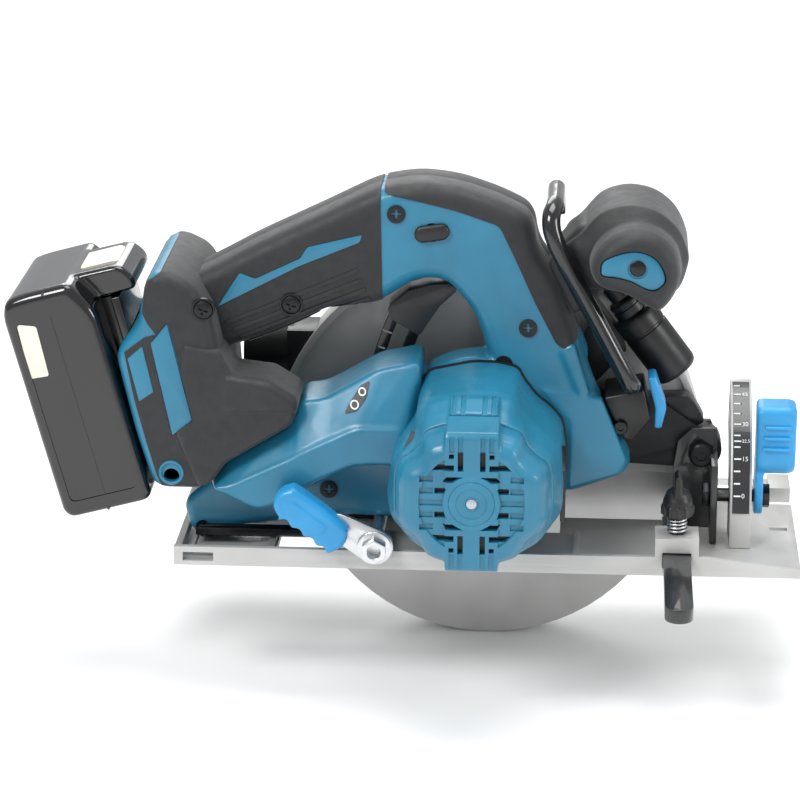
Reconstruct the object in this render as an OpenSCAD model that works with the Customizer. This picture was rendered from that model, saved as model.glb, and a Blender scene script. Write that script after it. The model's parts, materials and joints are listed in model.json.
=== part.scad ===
// Cordless left-blade circular saw.
// Frame: +X is the cutting direction, +Z is up, +Y is the blade's outer side.
// The origin lies on the sole plane, on the cut line, straight below the arbor.

/* [Blade] */
// Blade diameter
blade_d = 165; // [150:1:166]
// Blade plate thickness
blade_t = 1.6; // [1.2:0.1:1.8]
// Number of blade teeth
blade_teeth = 24; // [16:1:40]
// Arbor hole diameter
arbor_d = 20; // [16:1:20]
// Deepest cut below the sole
cut_depth = 57; // [54:1:58]

/* [Base] */
// Rear end of the base
base_x0 = -135; // [-138:1:-130]
// Front end of the base
base_x1 = 139.5; // [136:0.5:142]
// Motor side edge of the base
base_y0 = -90; // [-92:1:-88]
// Blade side edge of the base
base_y1 = 32; // [30:1:36]
// Thickness of the base plate
base_t = 3; // [2:0.5:3]
// Height of the base's stiffening rim
rim_h = 8.5; // [7:0.5:9]

/* [Bevel] */
// Height of the bevel axis above the sole
bevel_z = 8.5; // [8.5:0.1:9]
// Radius of the bevel scale
scale_r = 62.5; // [60:0.5:64]

/* [Depth] */
// Front pivot of the depth adjustment, along X
pivot_x = 96.5; // [96:0.5:97]
// Front pivot of the depth adjustment, height
pivot_z = 39; // [38:0.5:40]
// Radius of the slot in the depth guide
guide_r = 145; // [144.5:0.5:146]

/* [Drive] */
// Gear module
gear_m = 0.95; // [0.9:0.01:1]
// Teeth on the blade gear
gear_n = 41; // [39:1:42]
// Teeth on the motor pinion
pinion_n = 10; // [9:1:11]

/* [Handle] */
// Middle plane of the handle, along Y
mid_y = -46; // [-47:1:-45]
// Half width of the handle
half_w = 18; // [16:0.5:19]

/* [Battery] */
// Backward lean of the battery, in degrees
lean = 15; // [14:0.5:16]
// Battery width
batt_w = 75; // [70:1:76]
// Battery length along its slide
batt_l = 104; // [100:1:106]
// Battery depth behind the rails
batt_d = 41; // [38:1:42]

/* [Hidden] */
// Segments of a full circle where a mesh is needed.
$fn = 48;
// Height of the blade's axis above the sole.
arbor_z = blade_d / 2 - cut_depth;
// Motor axis, set by the gear pair's centre distance.
centre_d = gear_m * (gear_n + pinion_n) / 2;
motor_x = -2;
motor_z = arbor_z + sqrt(centre_d * centre_d - motor_x * motor_x);
// Wall of the moulded shells, and outer radii of the two guards.
wall = 2.5;
guard_r = blade_d / 2 + 3.8;
case_r = 98;
// Axis of the dust nozzle.
dust_y = 6;
dust_z = 71;
// Depth clamp bolt, on the guide's arc.
lock_z = 12;
lock_angle = 180 + asin((pivot_z - lock_z) / guide_r);
lock_x = pivot_x - sqrt(pow(guide_r, 2) - pow(pivot_z - lock_z, 2));
// Bevel clamp bolt, on the quadrant's arc.
bolt_r = 50;
bolt_angle = 17;
lever_y = -bolt_r * cos(bolt_angle);
lever_z = bevel_z + bolt_r * sin(bolt_angle);
// Middle of the fence pocket.
fence_x = 85.5;
// Colours.
skin = "#2b7fa6";
lever_blue = "#3f9fd0";
dark = "#2e3133";
cast_grey = "#b9b9b6";

// ---- helpers ----
// Extrudes an outline drawn in X and Z, from y0 up to y1.
module slab(y0, y1) {
    translate([0, y1, 0]) rotate([90, 0, 0]) linear_extrude(y1 - y0) children();
}
// Round bar along Y.
module bar_y(x, z, y0, y1, r) {
    translate([x, y0, z]) rotate([-90, 0, 0]) cylinder(h = y1 - y0, r = r);
}
// Round bar along X.
module bar_x(y, z, x0, x1, r) {
    translate([x0, y, z]) rotate([0, 90, 0]) cylinder(h = x1 - x0, r = r);
}
// Ring along Y.
module ring_y(x, z, y0, y1, r, bore) {
    difference() {
        bar_y(x, z, y0, y1, r);
        bar_y(x, z, y0 - 1, y1 + 1, bore);
    }
}
module box_at(x0, x1, y0, y1, z0, z1) {
    translate([x0, y0, z0]) cube([x1 - x0, y1 - y0, z1 - z0]);
}
// Part of a ring in X and Z, between two angles, as a polygon.
module arc_band(x, z, r0, r1, a0, a1, steps = 32) {
    angles = [for (i = [0:steps]) a0 + (a1 - a0) * i / steps];
    outer = [for (a = angles) [x + r1 * cos(a), z + r1 * sin(a)]];
    inner = [for (i = [steps:-1:0]) [x + r0 * cos(angles[i]), z + r0 * sin(angles[i])]];
    polygon(concat(outer, inner));
}
// Pan head screw whose head faces -Y.
module screw_y(x, z, y, r, length) {
    difference() {
        union() {
            bar_y(x, z, y, y + 2.4, r);
            bar_y(x, z, y + 2.4, y + length, r * 0.5);
        }
        box_at(x - r * 0.55, x + r * 0.55, y - 1, y + 1.2, z - 0.5, z + 0.5);
        box_at(x - 0.5, x + 0.5, y - 1, y + 1.2, z - r * 0.55, z + r * 0.55);
    }
}
// Hexagonal prism along Y.
module hex_y(x, z, y0, y1, r) {
    translate([x, y0, z]) rotate([-90, 30, 0]) cylinder(h = y1 - y0, r = r, $fn = 6);
}
// Puts a shape drawn in the battery's own frame (X back, Y across, Z up) in place.
module lean_back() {
    translate([-144.1, mid_y, 27]) rotate([0, -lean, 0]) mirror([1, 0, 0]) children();
}

// ---- base ----
module base_plate() {
    color(cast_grey) difference() {
        union() {
            box_at(base_x0, base_x1, base_y0, base_y1, 0, base_t);
            // stiffening rims: motor side, rear and blade side
            box_at(base_x0, 100, base_y0, base_y0 + 3, 0, rim_h);
            box_at(base_x0, base_x0 + 3, base_y0, base_y1, 0, rim_h - 1);
            box_at(base_x0, 95, base_y1 - 3, base_y1, 0, 5.5);
            slab(base_y0, base_y0 + 3) polygon([[99, 0], [base_x1, 0], [base_x1, 3.5], [99, rim_h]]);
            // cross ribs between the windows
            for (x = [-95, -58, 40])
                box_at(x, x + 3, base_y0, -50, 0, 5);
            // boss for the fence screw
            box_at(fence_x - 9.5, fence_x + 9.5, base_y0, base_y0 + 17, 0, 17);
            // front sighting tongue
            box_at(base_x1 - 10, base_x1, 8, 28, 0, 7);
        }
        // blade and guard opening, wider on the motor side for the bevel tilt
        box_at(-92, 92, -27, 13, -1, 9);
        box_at(-34, 34, -47, -26, -1, 9);
        // lightening windows
        box_at(-128, -99, -84, -40, 2, 9);
        box_at(-91, -60, -84, -50, -1, 4);
        // sight notch at the front
        box_at(112, base_x1 + 1, -2.7, 8, -1, 9);
        box_at(128, 136, -38, -34, -1, 9);
        // slot for the rip fence bar
        box_at(fence_x - 6.3, fence_x + 6.3, base_y0 - 1, base_y0 + 18, 3.4, 10.6);
        // tapped hole for the fence screw
        translate([fence_x, base_y0 + 8.5, 10]) cylinder(h = 8, r = 3.05);
        // wrench slot in the rear of the rim
        box_at(-131, -117.5, base_y0 - 1, base_y0 + 4, 2, 6);
    }
    // pivot ears for the tilting frame
    color(cast_grey) for (x = [-127, 119.5]) difference() {
        union() {
            bar_x(0, bevel_z, x, x + 3.5, 5);
            box_at(x, x + 3.5, -5, 5, base_t - 0.5, bevel_z);
        }
        bar_x(0, bevel_z, x - 1, x + 5, 2.5);
    }
}
module bevel_quadrant() {
    color(cast_grey) {
        difference() {
            translate([109, 0, bevel_z]) rotate([90, 0, 90]) linear_extrude(3) difference() {
                arc_band(0, 0, 38, scale_r, 107, 187);
                arc_band(0, 0, 46.9, 53.1, 109, 166.6);
            }
            box_at(100, 130, -80, 0, -20, base_t);
        }
        // curved flange that carries the scale
        difference() {
            translate([109, 0, bevel_z]) rotate([90, 0, 90]) linear_extrude(9.5)
                arc_band(0, 0, scale_r - 2.5, scale_r, 107, 187);
            box_at(100, 130, -80, 0, -20, base_t);
        }
    }
}
module bevel_scale() {
    color("#1c1d1f") difference() {
        translate([110, 0, bevel_z]) rotate([90, 0, 90]) linear_extrude(7.5)
            arc_band(0, 0, scale_r + 0.05, scale_r + 0.65, 110, 170);
        // tick marks every 5 degrees
        for (i = [0:10]) translate([0, 0, bevel_z]) rotate([-(17 + 5 * i), 0, 0])
            box_at(111, i % 3 == 0 ? 115.5 : 114, -scale_r - 2, -scale_r - 0.25, -0.3, 0.3);
    }
}
module bevel_pins() {
    color("silver") for (x = [-129, 99]) difference() {
        bar_x(0, bevel_z, x, x + (x < 0 ? 16 : 26), 2.45);
        bar_x(0, bevel_z, x - 1, x + 1, 0.8);
    }
}
module rip_fence() {
    color("#1d1e20") difference() {
        union() {
            box_at(fence_x - 6, fence_x + 6, -150, -42, 3.8, 10.2);
            translate([fence_x, -150, 3.8]) cylinder(h = 6.4, r = 6);
        }
        // shallow groove along the underside
        box_at(fence_x - 2.5, fence_x + 2.5, -148, -44, 3, 4.6);
    }
}
module fence_screw() {
    color("#1d1e20") {
        translate([fence_x, base_y0 + 8.5, 10.6]) cylinder(h = 16, r = 3);
        translate([fence_x, base_y0 + 8.5, 25.5]) cylinder(h = 10, r = 6.6);
        translate([fence_x - 1.6, base_y0 + 3, 34]) cube([3.2, 11, 12]);
    }
}
module fence_spring() {
    color("silver") translate([fence_x, base_y0 + 8.5, 17.1]) rotate_extrude()
        polygon(concat([for (i = [0:12]) [4.4 + (i % 2) * 0.7, i * 0.67]],
            [for (i = [12:-1:0]) [3.5 + (i % 2) * 0.4, i * 0.67]]));
}

// ---- tilting frame ----
module front_bracket() {
    color("#232426") {
        difference() {
            union() {
                // cross web with its pivot ear on the bevel axis
                box_at(100.5, 103.5, -36, 0, 3.6, 22);
                bar_x(0, bevel_z, 100.5, 103.5, 4.9);
                // upright behind the quadrant
                box_at(100.5, 103.5, -58, -36, 3.6, 40);
                // ears for the depth pivot
                box_at(84, 103.5, -36, -33, 3.6, 30);
                slab(-36, -33) polygon([[84, 30], [86, 44], [92, 50], [103.5, 50], [103.5, 30]]);
                box_at(90, 103.5, -18, -15, 3.6, 22);
                slab(-18, -15) polygon([[90, 22], [88, 42], [92, 48], [101, 48], [103.5, 42], [103.5, 22]]);
            }
            bar_x(0, bevel_z, 99, 105, 2.5);
            bar_x(lever_y, lever_z, 99, 105, 3.05);
            bar_y(pivot_x, pivot_z, -40, -10, 3.5);
        }
        // pointer at the scale
        box_at(103.5, 108.4, -60, -57, 26, 28.5);
    }
}
module depth_pivot_bolt() {
    color("#4a4c4f") {
        bar_y(pivot_x, pivot_z, -36.2, -14.9, 3.45);
        hex_y(pivot_x, pivot_z, -40.4, -36.1, 6);
    }
}
module rear_bracket() {
    color("#232426") difference() {
        union() {
            box_at(-122, -119, -36, 0, 3.6, 13);
            bar_x(0, bevel_z, -122, -119, 4.9);
            box_at(-122, -50, -36, -33, 3.6, 11);
        }
        bar_x(0, bevel_z, -124, -117, 2.5);
    }
}
module depth_guide() {
    color("#232426") slab(-33, -30) difference() {
        union() {
            intersection() {
                arc_band(pivot_x, pivot_z, guide_r - 8, guide_r + 8, 152.7, 198);
                translate([-100, 3.6]) square([200, 200]);
            }
        }
        arc_band(pivot_x, pivot_z, guide_r - 3.1, guide_r + 3.1, 155.5, lock_angle);
        translate([lock_x, lock_z]) circle(r = 3.1);
    }
}
module bevel_lever() {
    color(lever_blue) {
        // clamp plate, bent outwards into the grip
        translate([119.6, 0, 0]) rotate([90, 0, 90]) linear_extrude(3) difference() {
            hull() {
                translate([lever_y, lever_z]) circle(r = 8);
                translate([lever_y - 3, lever_z + 14]) circle(r = 8);
            }
            translate([lever_y, lever_z]) circle(r = 3.05);
        }
        hull() {
            translate([122, lever_y - 13, lever_z + 16]) cube([15, 18, 25]);
            translate([119.6, lever_y - 12, lever_z + 12]) cube([10, 16, 33]);
        }
    }
}
module bevel_bolt() {
    color("#55585b") {
        bar_x(lever_y, lever_z, 98.5, 124, 3);
        translate([122.6, lever_y, lever_z]) rotate([0, 90, 0]) cylinder(h = 4.2, r = 5.6, $fn = 6);
        translate([97, lever_y, lever_z]) rotate([0, 90, 0]) cylinder(h = 3.5, r = 5.6, $fn = 6);
    }
}

// ---- head: blade case, gear box and motor ----
module blade_case() {
    color(cast_grey) difference() {
        slab(-14, 14) arc_band(0, arbor_z, 24.2, case_r, -3, 183);
        // room for the blade and the raised guard, left open toward the outer side wall
        slab(-11.5, 11.5) arc_band(0, arbor_z, 20, case_r - 3, -5, 185);
        slab(11, 15) arc_band(0, arbor_z, 20, 40, -5, 185);
        // opening into the dust nozzle
        bar_x(1, 73, -98, -68, 9);
    }
}
module dust_nozzle() {
    color("#26282a") difference() {
        union() {
            bar_x(dust_y, dust_z, -112, -90, 15);
            box_at(-92, -78.5, -9, 13.9, 60, 84);
        }
        bar_x(dust_y, dust_z, -113, -93, 12.5);
        bar_x(1, 73, -94, -76, 8.5);
        bar_y(0, arbor_z, -30, 30, case_r + 0.05);
    }
}
module gear_housing() {
    color("#2a2c2e") difference() {
        union() {
            slab(-38, -14.2) intersection() {
                hull() {
                    translate([0, arbor_z]) circle(r = 23.4);
                    translate([motor_x, motor_z]) circle(r = 20);
                }
                translate([-40, 3.6]) square([80, 90]);
            }
            bar_y(0, arbor_z, -14.2, -8, 19);
            // arm and lug of the depth pivot
            slab(-32.5, -18.5) polygon([[15, 62], [15, 40], [60, 32], [92, 30.5], [96.5, 30], [96.5, 48],
                [80, 60], [60, 66]]);
            bar_y(pivot_x, pivot_z, -32.5, -18.5, 9.2);
        }
        bar_y(0, arbor_z, -38.1, -26, 21);
        bar_y(motor_x, motor_z, -38.1, -26.5, 8.5);
        bar_y(0, arbor_z, -27, -18, 14);
        bar_y(0, arbor_z, -19, -7, 8);
        bar_y(pivot_x, pivot_z, -33, -18, 3.5);
    }
}
module gear_cover() {
    color("#2a2c2e") difference() {
        slab(-45, -38) intersection() {
            hull() {
                translate([0, arbor_z]) circle(r = 23.4);
                translate([motor_x, motor_z]) circle(r = 20);
            }
            translate([-40, 3.6]) square([80, 90]);
        }
        bar_y(0, arbor_z, -43, -37, 9.5);
        bar_y(motor_x, motor_z, -46, -39.5, 9.5);
        bar_y(motor_x, motor_z, -40, -37, 6);
    }
}
module ball_bearings() {
    color("silver") {
        ring_y(0, arbor_z, -26.5, -18.05, 13.95, 7);
        ring_y(0, arbor_z, -42.95, -38.2, 9.45, 5.05);
        ring_y(motor_x, motor_z, -44.8, -39.6, 9.45, 4.05);
        ring_y(motor_x, motor_z, -136, -131, 8, 4.05);
    }
}
module motor_housing() {
    color(skin) translate([motor_x, 0, motor_z]) rotate([90, 0, 0]) rotate_extrude()
        polygon([[40, 64], [40, 112], [36.5, 122], [34, 125], [31.2, 125], [34, 120.5], [37.4, 111],
            [37.4, 64]]);
}
module motor_cover() {
    color(skin) difference() {
        translate([motor_x, 0, motor_z]) rotate([90, 0, 0]) rotate_extrude() union() {
            polygon([[33.6, 125.2], [33.2, 136], [29, 142], [0, 142], [0, 139], [28, 139], [30.6, 135],
                [30.9, 125.2]]);
            polygon([[8.1, 130], [11, 130], [11, 140], [8.1, 140]]);
        }
        // cooling slots on both sides of the middle band
        for (side = [-1, 1]) for (row = [-2:2])
            box_at(motor_x + side * 13 - (6 - abs(row)), motor_x + side * 13 + (6 - abs(row)), -143, -138,
                motor_z + row * 7 - 1.4, motor_z + row * 7 + 1.4);
        for (side = [-1, 1]) for (top = [-1, 1])
            box_at(motor_x + side * 4 - 1.2, motor_x + side * 4 + 1.2, -143, -138,
                motor_z + top * 17 - 5, motor_z + top * 17 + 5);
    }
}
module stator() {
    color("#6b6e70") slab(-112, -74) difference() {
        translate([motor_x, motor_z]) circle(r = 33);
        translate([motor_x, motor_z]) circle(r = 16);
        for (a = [0:60:300]) translate([motor_x, motor_z]) rotate(a) translate([24, 0]) circle(r = 5);
    }
}
module stator_coils() {
    color("#b0713a") for (a = [0:60:300]) translate([motor_x, 0, motor_z]) rotate([0, a, 0])
        bar_y(24, 0, -116, -70, 4.7);
}

// ---- handle, drawn in X and Z ----
module handle_outline() {
    offset(4) offset(-4) polygon([[-134, 120], [-118, 128], [-100, 138], [-73, 151], [-47, 164], [-29, 167],
        [-12, 165], [6, 159], [20, 152], [22, 138], [30, 127], [40, 100], [48, 76], [65, 42], [63, 36],
        [36, 26], [2, 40], [2, 90], [-5, 110], [-17, 124], [-30, 124], [-46, 113], [-66, 112],
        [-93, 99], [-115, 91], [-124, 96]]);
}
// Raised blue panel in front of the grip, below the dark top band.
module front_panel() {
    polygon([[-42.5, 159], [-13, 155.7], [5.7, 149.7], [12.7, 134.7], [21.7, 114.8], [31.7, 96.8],
        [37.8, 100.6], [48, 76], [65, 42], [63, 36], [36, 26], [2, 40], [2, 90], [-5, 110], [-17, 123.5],
        [-30, 124], [-42.5, 114]]);
}
module arm_outline() {
    polygon([[-121, 33], [-114, 43], [-85, 60], [-80, 72], [-70, 74], [-46, 87], [-30, 90], [-30, 42],
        [-45, 45], [-58, 44], [-76, 34], [-92, 24], [-100, 22], [-112, 29]]);
}
module skirt_outline() {
    polygon([[-134, 20], [-131, 8], [-125, 2], [-109, 9], [-60, 15], [-36, 14], [-34, 60], [-60, 60],
        [-110, 40]]);
}
module foot_outline() {
    polygon([[-137, 131], [-144, 130], [-148, 118], [-150, 107], [-160, 94], [-157, 80], [-152, 58],
        [-146, 38], [-143, 33], [-122, 33], [-112, 60], [-114, 92], [-118, 112], [-126, 126]]);
}
// Recess for the battery's rails: a narrow neck and a wider head.
module rail_recess() {
    lean_back() box_at(-4.4, 1, -18.4, 18.4, 2, 120);
    lean_back() box_at(-8.8, -4, -23.4, 23.4, 2, 120);
}
module lock_off_hole() {
    slab(-70, -20) polygon([[-31, 141], [-15, 141.5], [-15, 151], [-31, 150.5]]);
}
module right_shell() {
    color(skin) {
        difference() {
            union() {
                slab(mid_y - half_w + 2.5, mid_y - 0.1) handle_outline();
                slab(mid_y - half_w, mid_y - half_w + 3) front_panel();
                bar_y(motor_x, motor_z, mid_y - half_w, mid_y - 0.1, 40);
                slab(-64, mid_y - 0.1) skirt_outline();
                bar_y(lock_x, lock_z, -64, -36.2, 7);
                slab(-86, mid_y - 0.1) difference() {
                    arm_outline();
                    translate([motor_x, motor_z]) circle(r = 41.5);
                }
                slab(-83.5, mid_y - 0.1) foot_outline();
            }
            // hollow inside
            slab(mid_y - half_w + 5, mid_y + 1) offset(-wall) handle_outline();
            bar_y(motor_x, motor_z, mid_y - half_w + wall, mid_y + 1, 37.4);
            bar_y(motor_x, motor_z, -65, -60, 36);
            lean_arm() box_at(-25, 30, -83, mid_y + 1, -9, 9);
            foot_hollow(-80, mid_y + 1);
            rail_recess();
            lock_off_hole();
            // wrench storage hole in the rear ear, and the hole in the foot
            bar_y(-125, 8.5, -66, -40, 3.1);
            bar_y(-136, 39, -90, -40, 3.5);
            bar_y(lock_x, lock_z, -70, -30, 3.05);
        }
    }
}
// Hollow in front of the battery recess.
module foot_hollow(y0, y1) {
    slab(y0, y1) polygon([[-128, 118], [-137, 118], [-145, 96], [-142, 76], [-137, 52], [-124, 47],
        [-117, 66], [-119, 96]]);
}
module left_shell() {
    color(dark) difference() {
        union() {
            slab(mid_y + 0.1, mid_y + half_w - 2.5) difference() {
                handle_outline();
                translate([-6, 20]) square([90, 62]);
            }
            slab(mid_y + 0.1, -8.5) foot_outline();
        }
        slab(mid_y - 1, mid_y + half_w - 5) offset(-wall) difference() {
            handle_outline();
            translate([-6, 20]) square([90, 62]);
        }
        foot_hollow(mid_y - 1, -12);
        rail_recess();
        lock_off_hole();
    }
}
module grip_outline() {
    polygon([[-124.6, 125], [-118, 128], [-100, 138], [-73, 151], [-47, 164], [-47, 113], [-66, 112],
        [-93, 99], [-113, 91.9], [-117.2, 112.2]]);
}
module grip_right() {
    color(dark) difference() {
        slab(mid_y - half_w, mid_y - half_w + 2.5) grip_outline();
        slab(mid_y - half_w - 1, mid_y - half_w + 3) polygon([[-117, 111], [-107, 127], [-80, 134],
            [-77, 139], [-53, 145], [-54, 141], [-80, 130]]);
    }
    color(dark) slab(mid_y - half_w, mid_y - half_w + 2.5) top_band();
}
module grip_left() {
    color(dark) {
        slab(mid_y + half_w - 2.5, mid_y + half_w) grip_outline();
        slab(mid_y + half_w - 2.5, mid_y + half_w) top_band();
    }
}
module grip_inlay() {
    color(skin) slab(mid_y - half_w, mid_y - half_w + 2.5) polygon([[-116.6, 111.3], [-106.8, 126.6],
        [-80.2, 133.6], [-77.2, 138.6], [-53.3, 144.6], [-54.3, 141.3], [-80.3, 130.4]]);
}
module top_band() {
    polygon([[-43, 160], [-29, 166], [-12, 164.5], [6, 158.5], [19, 152], [21, 138], [29, 127], [38, 101],
        [32, 97], [22, 115], [13, 135], [6, 150], [-13, 156], [-37, 160.5]]);
}

// ---- front of the head ----
module front_grip() {
    color(dark) difference() {
        union() {
            slab(-63, -16) hull() {
                translate([54, 136]) circle(r = 18);
                translate([66, 137]) circle(r = 21);
                translate([74, 126]) circle(r = 11);
            }
            slab(-88, -63) hull() {
                translate([64, 137]) circle(r = 17.5);
                translate([67, 137]) circle(r = 20);
                translate([74, 126]) circle(r = 11);
            }
            // neck to the handle
            slab(-60, -32) polygon([[28, 131], [34, 118], [38, 107], [50, 118], [50, 145], [40, 147]]);
        }
        slab(-90, -86) insert_outline();
        handle_clear();
        bar_y(66, 137.6, -90, -50, 3.2);
    }
}
// The handle's side of the joint with the front grip.
module handle_clear() {
    slab(-70, -20) handle_outline();
}
module insert_outline() {
    hull() {
        translate([55, 137]) circle(r = 4.5);
        translate([65, 138]) circle(r = 7.5);
        translate([72, 133]) circle(r = 6);
    }
}
module grip_insert() {
    color(skin) difference() {
        slab(-88, -86) insert_outline();
        bar_y(66, 137.6, -90, -85, 4.6);
    }
}
module lamp() {
    color("#1f2022") translate([60, -30, 108]) rotate([0, 143, 0]) {
        translate([0, 0, -7.5]) cylinder(h = 8.5, r = 5);
        cylinder(h = 9, r = 7.4);
        translate([0, 0, 8]) cylinder(h = 34, r = 10.4);
    }
}
module lamp_bracket() {
    color("#1f2022") difference() {
        slab(-30.3, -25) polygon([[30, 66], [46, 66], [62, 84], [54, 116], [46, 116], [46, 96]]);
        translate([60, -30, 108]) rotate([0, 143, 0]) cylinder(h = 90, r = 10.6, center = true);
    }
}
module lock_bracket() {
    color("#1f2022") slab(-60, -33)
        polygon([[53, 71.5], [70, 75], [73, 62], [66, 52], [61.5, 52], [57.3, 60.5], [52.7, 70]]);
}
module shaft_lock() {
    color(lever_blue) slab(-58, -44)
        polygon([[71.5, 80], [75, 80.5], [80, 66], [78, 57], [75, 57], [75, 66]]);
}

// ---- moving guard, blade and drive ----
module lower_guard() {
    color(cast_grey) difference() {
        union() {
            slab(-9.5, 9.5) arc_band(0, arbor_z, guard_r - 2.3, guard_r, 182, 358);
            slab(-9.5, -7.7) arc_band(0, arbor_z, 24, guard_r, 182, 358);
            slab(7.7, 9.5) arc_band(0, arbor_z, 30, guard_r, 182, 358);
            ring_y(0, arbor_z, -9.5, -7.7, 27, 19.3);
            ring_y(0, arbor_z, 7.7, 9.5, 36, 20);
        }
        bar_y(0, arbor_z, -12, -5, 19.3);
        bar_y(0, arbor_z, 5, 12, 20);
    }
}
module guard_lever() {
    color(lever_blue) {
        translate([0, 0, arbor_z]) rotate([0, 10, 0]) {
            slab(14.6, 17.4) polygon([[-70, -5], [-70, 5], [-30, 8], [-24, 8], [-24, -8], [-30, -8]]);
            bar_y(-68, 0, 14.6, 22, 6);
            box_at(-36, -24, 9.5, 15, -5, 5);
        }
    }
}
module guard_spring() {
    color("silver") ring_y(0, arbor_z, -11.4, -9.9, 33, 28);
}
module blade() {
    color("#c9ccce") difference() {
        slab(-blade_t / 2, blade_t / 2) polygon([for (i = [0:blade_teeth * 4 - 1])
            let (a = -i * 90 / blade_teeth, k = i % 4,
                r = blade_d / 2 - (k == 0 ? 0 : k == 1 ? 2 : k == 2 ? 9 : 5))
            [r * cos(a + (k == 1 ? 0.4 : 0)), arbor_z + r * sin(a + (k == 1 ? 0.4 : 0))]]);
        bar_y(0, arbor_z, -5, 5, arbor_d / 2);
        // expansion slots
        for (a = [30:90:300]) translate([0, 0, arbor_z]) rotate([0, a, 0])
            box_at(54, 66, -5, 5, -0.7, 0.7);
    }
}
module inner_flange() {
    color("#4b4e51") difference() {
        union() {
            bar_y(0, arbor_z, -6.6, -0.8, 17);
            bar_y(0, arbor_z, -0.8, 0.6, arbor_d / 2 - 0.03);
        }
        bar_y(0, arbor_z, -7, 5, 5);
    }
}
module outer_flange() {
    color("#4b4e51") difference() {
        bar_y(0, arbor_z, 0.8, 4.2, 17);
        bar_y(0, arbor_z, 0, 5, 4.05);
    }
}
module blade_bolt() {
    color("#3a3c3e") {
        bar_y(0, arbor_z, -6, 4.3, 4);
        bar_y(0, arbor_z, 4.2, 5.6, 9);
        hex_y(0, arbor_z, 5.6, 10.6, 7.5);
    }
}
module spindle_shaft() {
    color("silver") difference() {
        union() {
            bar_y(0, arbor_z, -26.6, -6.7, 6.95);
            bar_y(0, arbor_z, -42.5, -26.5, 5);
            bar_y(0, arbor_z, -6.8, -1, 5);
        }
        bar_y(0, arbor_z, -12, 2, 4);
    }
}
// Involute gear outline centred on the origin, with one tooth on +X turned by phase.
function involute(rb, t) = [rb * (cos(t) + t * PI / 180 * sin(t)), rb * (sin(t) - t * PI / 180 * cos(t))];
module gear_outline(n, phase) {
    rp = gear_m * n / 2;
    rb = rp * cos(20);
    tip = rp + 0.85 * gear_m;
    root = rp - 1.15 * gear_m;
    roll_p = sqrt(pow(rp / rb, 2) - 1) * 180 / PI;
    roll_t = sqrt(pow(tip / rb, 2) - 1) * 180 / PI;
    half = 90 / n * 0.9 + (roll_p - atan(roll_p * PI / 180));
    flank = [for (i = [0:4]) involute(rb, roll_t * i / 4)];
    rotate(phase) polygon([for (k = [0:n - 1]) let (a = 360 * k / n) each concat(
        [[root * cos(a - half), root * sin(a - half)]],
        [for (p = flank) [p[0] * cos(a - half) - p[1] * sin(a - half),
            p[0] * sin(a - half) + p[1] * cos(a - half)]],
        [for (i = [4:-1:0]) let (p = flank[i])
            [p[0] * cos(a + half) + p[1] * sin(a + half), p[0] * sin(a + half) - p[1] * cos(a + half)]],
        [[root * cos(a + half), root * sin(a + half)]])]);
}
mesh_angle = atan2(motor_z - arbor_z, motor_x);
module blade_gear() {
    color("#8a8d90") slab(-37.6, -30) difference() {
        translate([0, arbor_z]) gear_outline(gear_n, mesh_angle);
        translate([0, arbor_z]) circle(r = 5);
    }
}
module rotor_shaft() {
    color("silver") {
        bar_y(motor_x, motor_z, -136.5, -37.8, 4);
        slab(-38, -29) translate([motor_x, motor_z])
            gear_outline(pinion_n, mesh_angle + 180 + 180 / pinion_n);
    }
}
module rotor_core() {
    color("#77797b") ring_y(motor_x, motor_z, -112, -74, 15.4, 4.01);
}
module fan() {
    color("#303234") {
        ring_y(motor_x, motor_z, -60, -54, 9, 4.01);
        ring_y(motor_x, motor_z, -55.5, -54, 33, 8.5);
        for (a = [0:30:330]) translate([motor_x, 0, motor_z]) rotate([0, a, 0])
            box_at(15, 32, -60, -55, -0.8, 0.8);
    }
}

// ---- controls ----
module trigger() {
    color("#1b1c1e") slab(mid_y - 7.5, mid_y + 7.5) offset(2) offset(-2) polygon([[-43, 109], [-42, 104],
        [-34, 99], [-29, 96], [-26, 101], [-20, 110], [-13, 116.5], [-15, 120], [-24, 119.5], [-34, 116.5]]);
    // pivot pin
    color("#1b1c1e") bar_y(-14.5, 118, mid_y - 9, mid_y + 9, 1.8);
}
module trigger_switch() {
    color("#3a3d40") difference() {
        slab(mid_y - 10, mid_y + 10) polygon([[-34, 127], [-12, 127], [0, 112], [14, 118], [4, 138],
            [-34, 142]]);
        slab(mid_y - 11, mid_y + 11) polygon([[-40, 120], [-22, 129.4], [-12, 128], [-5, 118], [-20, 110]]);
    }
}
module lock_off() {
    color("#1b1c1e") hull() for (x = [-27, -19])
        bar_y(x, 146 + (x + 23) * 0.15, -66.5, -25.5, 3.6);
}
module controller() {
    color("#2f5d43") lean_arm() box_at(-22, 22, -78, -52, -4, 6);
}
module lean_arm() {
    translate([-84, 0, 48]) rotate([0, -35, 0]) children();
}
module battery_body() {
    color("#17181a") lean_back() difference() {
        union() {
            translate([0, batt_w / 2, 0]) rotate([90, 0, 0]) linear_extrude(batt_w) offset(3) offset(-3)
                polygon([[0.3, 3], [30, 0], [batt_d, 18], [batt_d, 96], [32, batt_l], [3, batt_l],
                    [-17, 91], [-14, 82.5], [-5, 76], [0.3, 72]]);
            box_at(-4.4, 2, -18, 18, 8, 78);
            box_at(-8.4, -4.3, -23, 23, 8, 74);
        }
        // slots that the terminal blades enter
        for (y = [-14, 0, 14])
            box_at(-8, -2, y - 1.2, y + 1.2, 5, 24);
        // pocket of the release button
        box_at(-13.5, 8, -13, 13, 87, 110);
    }
}
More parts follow.
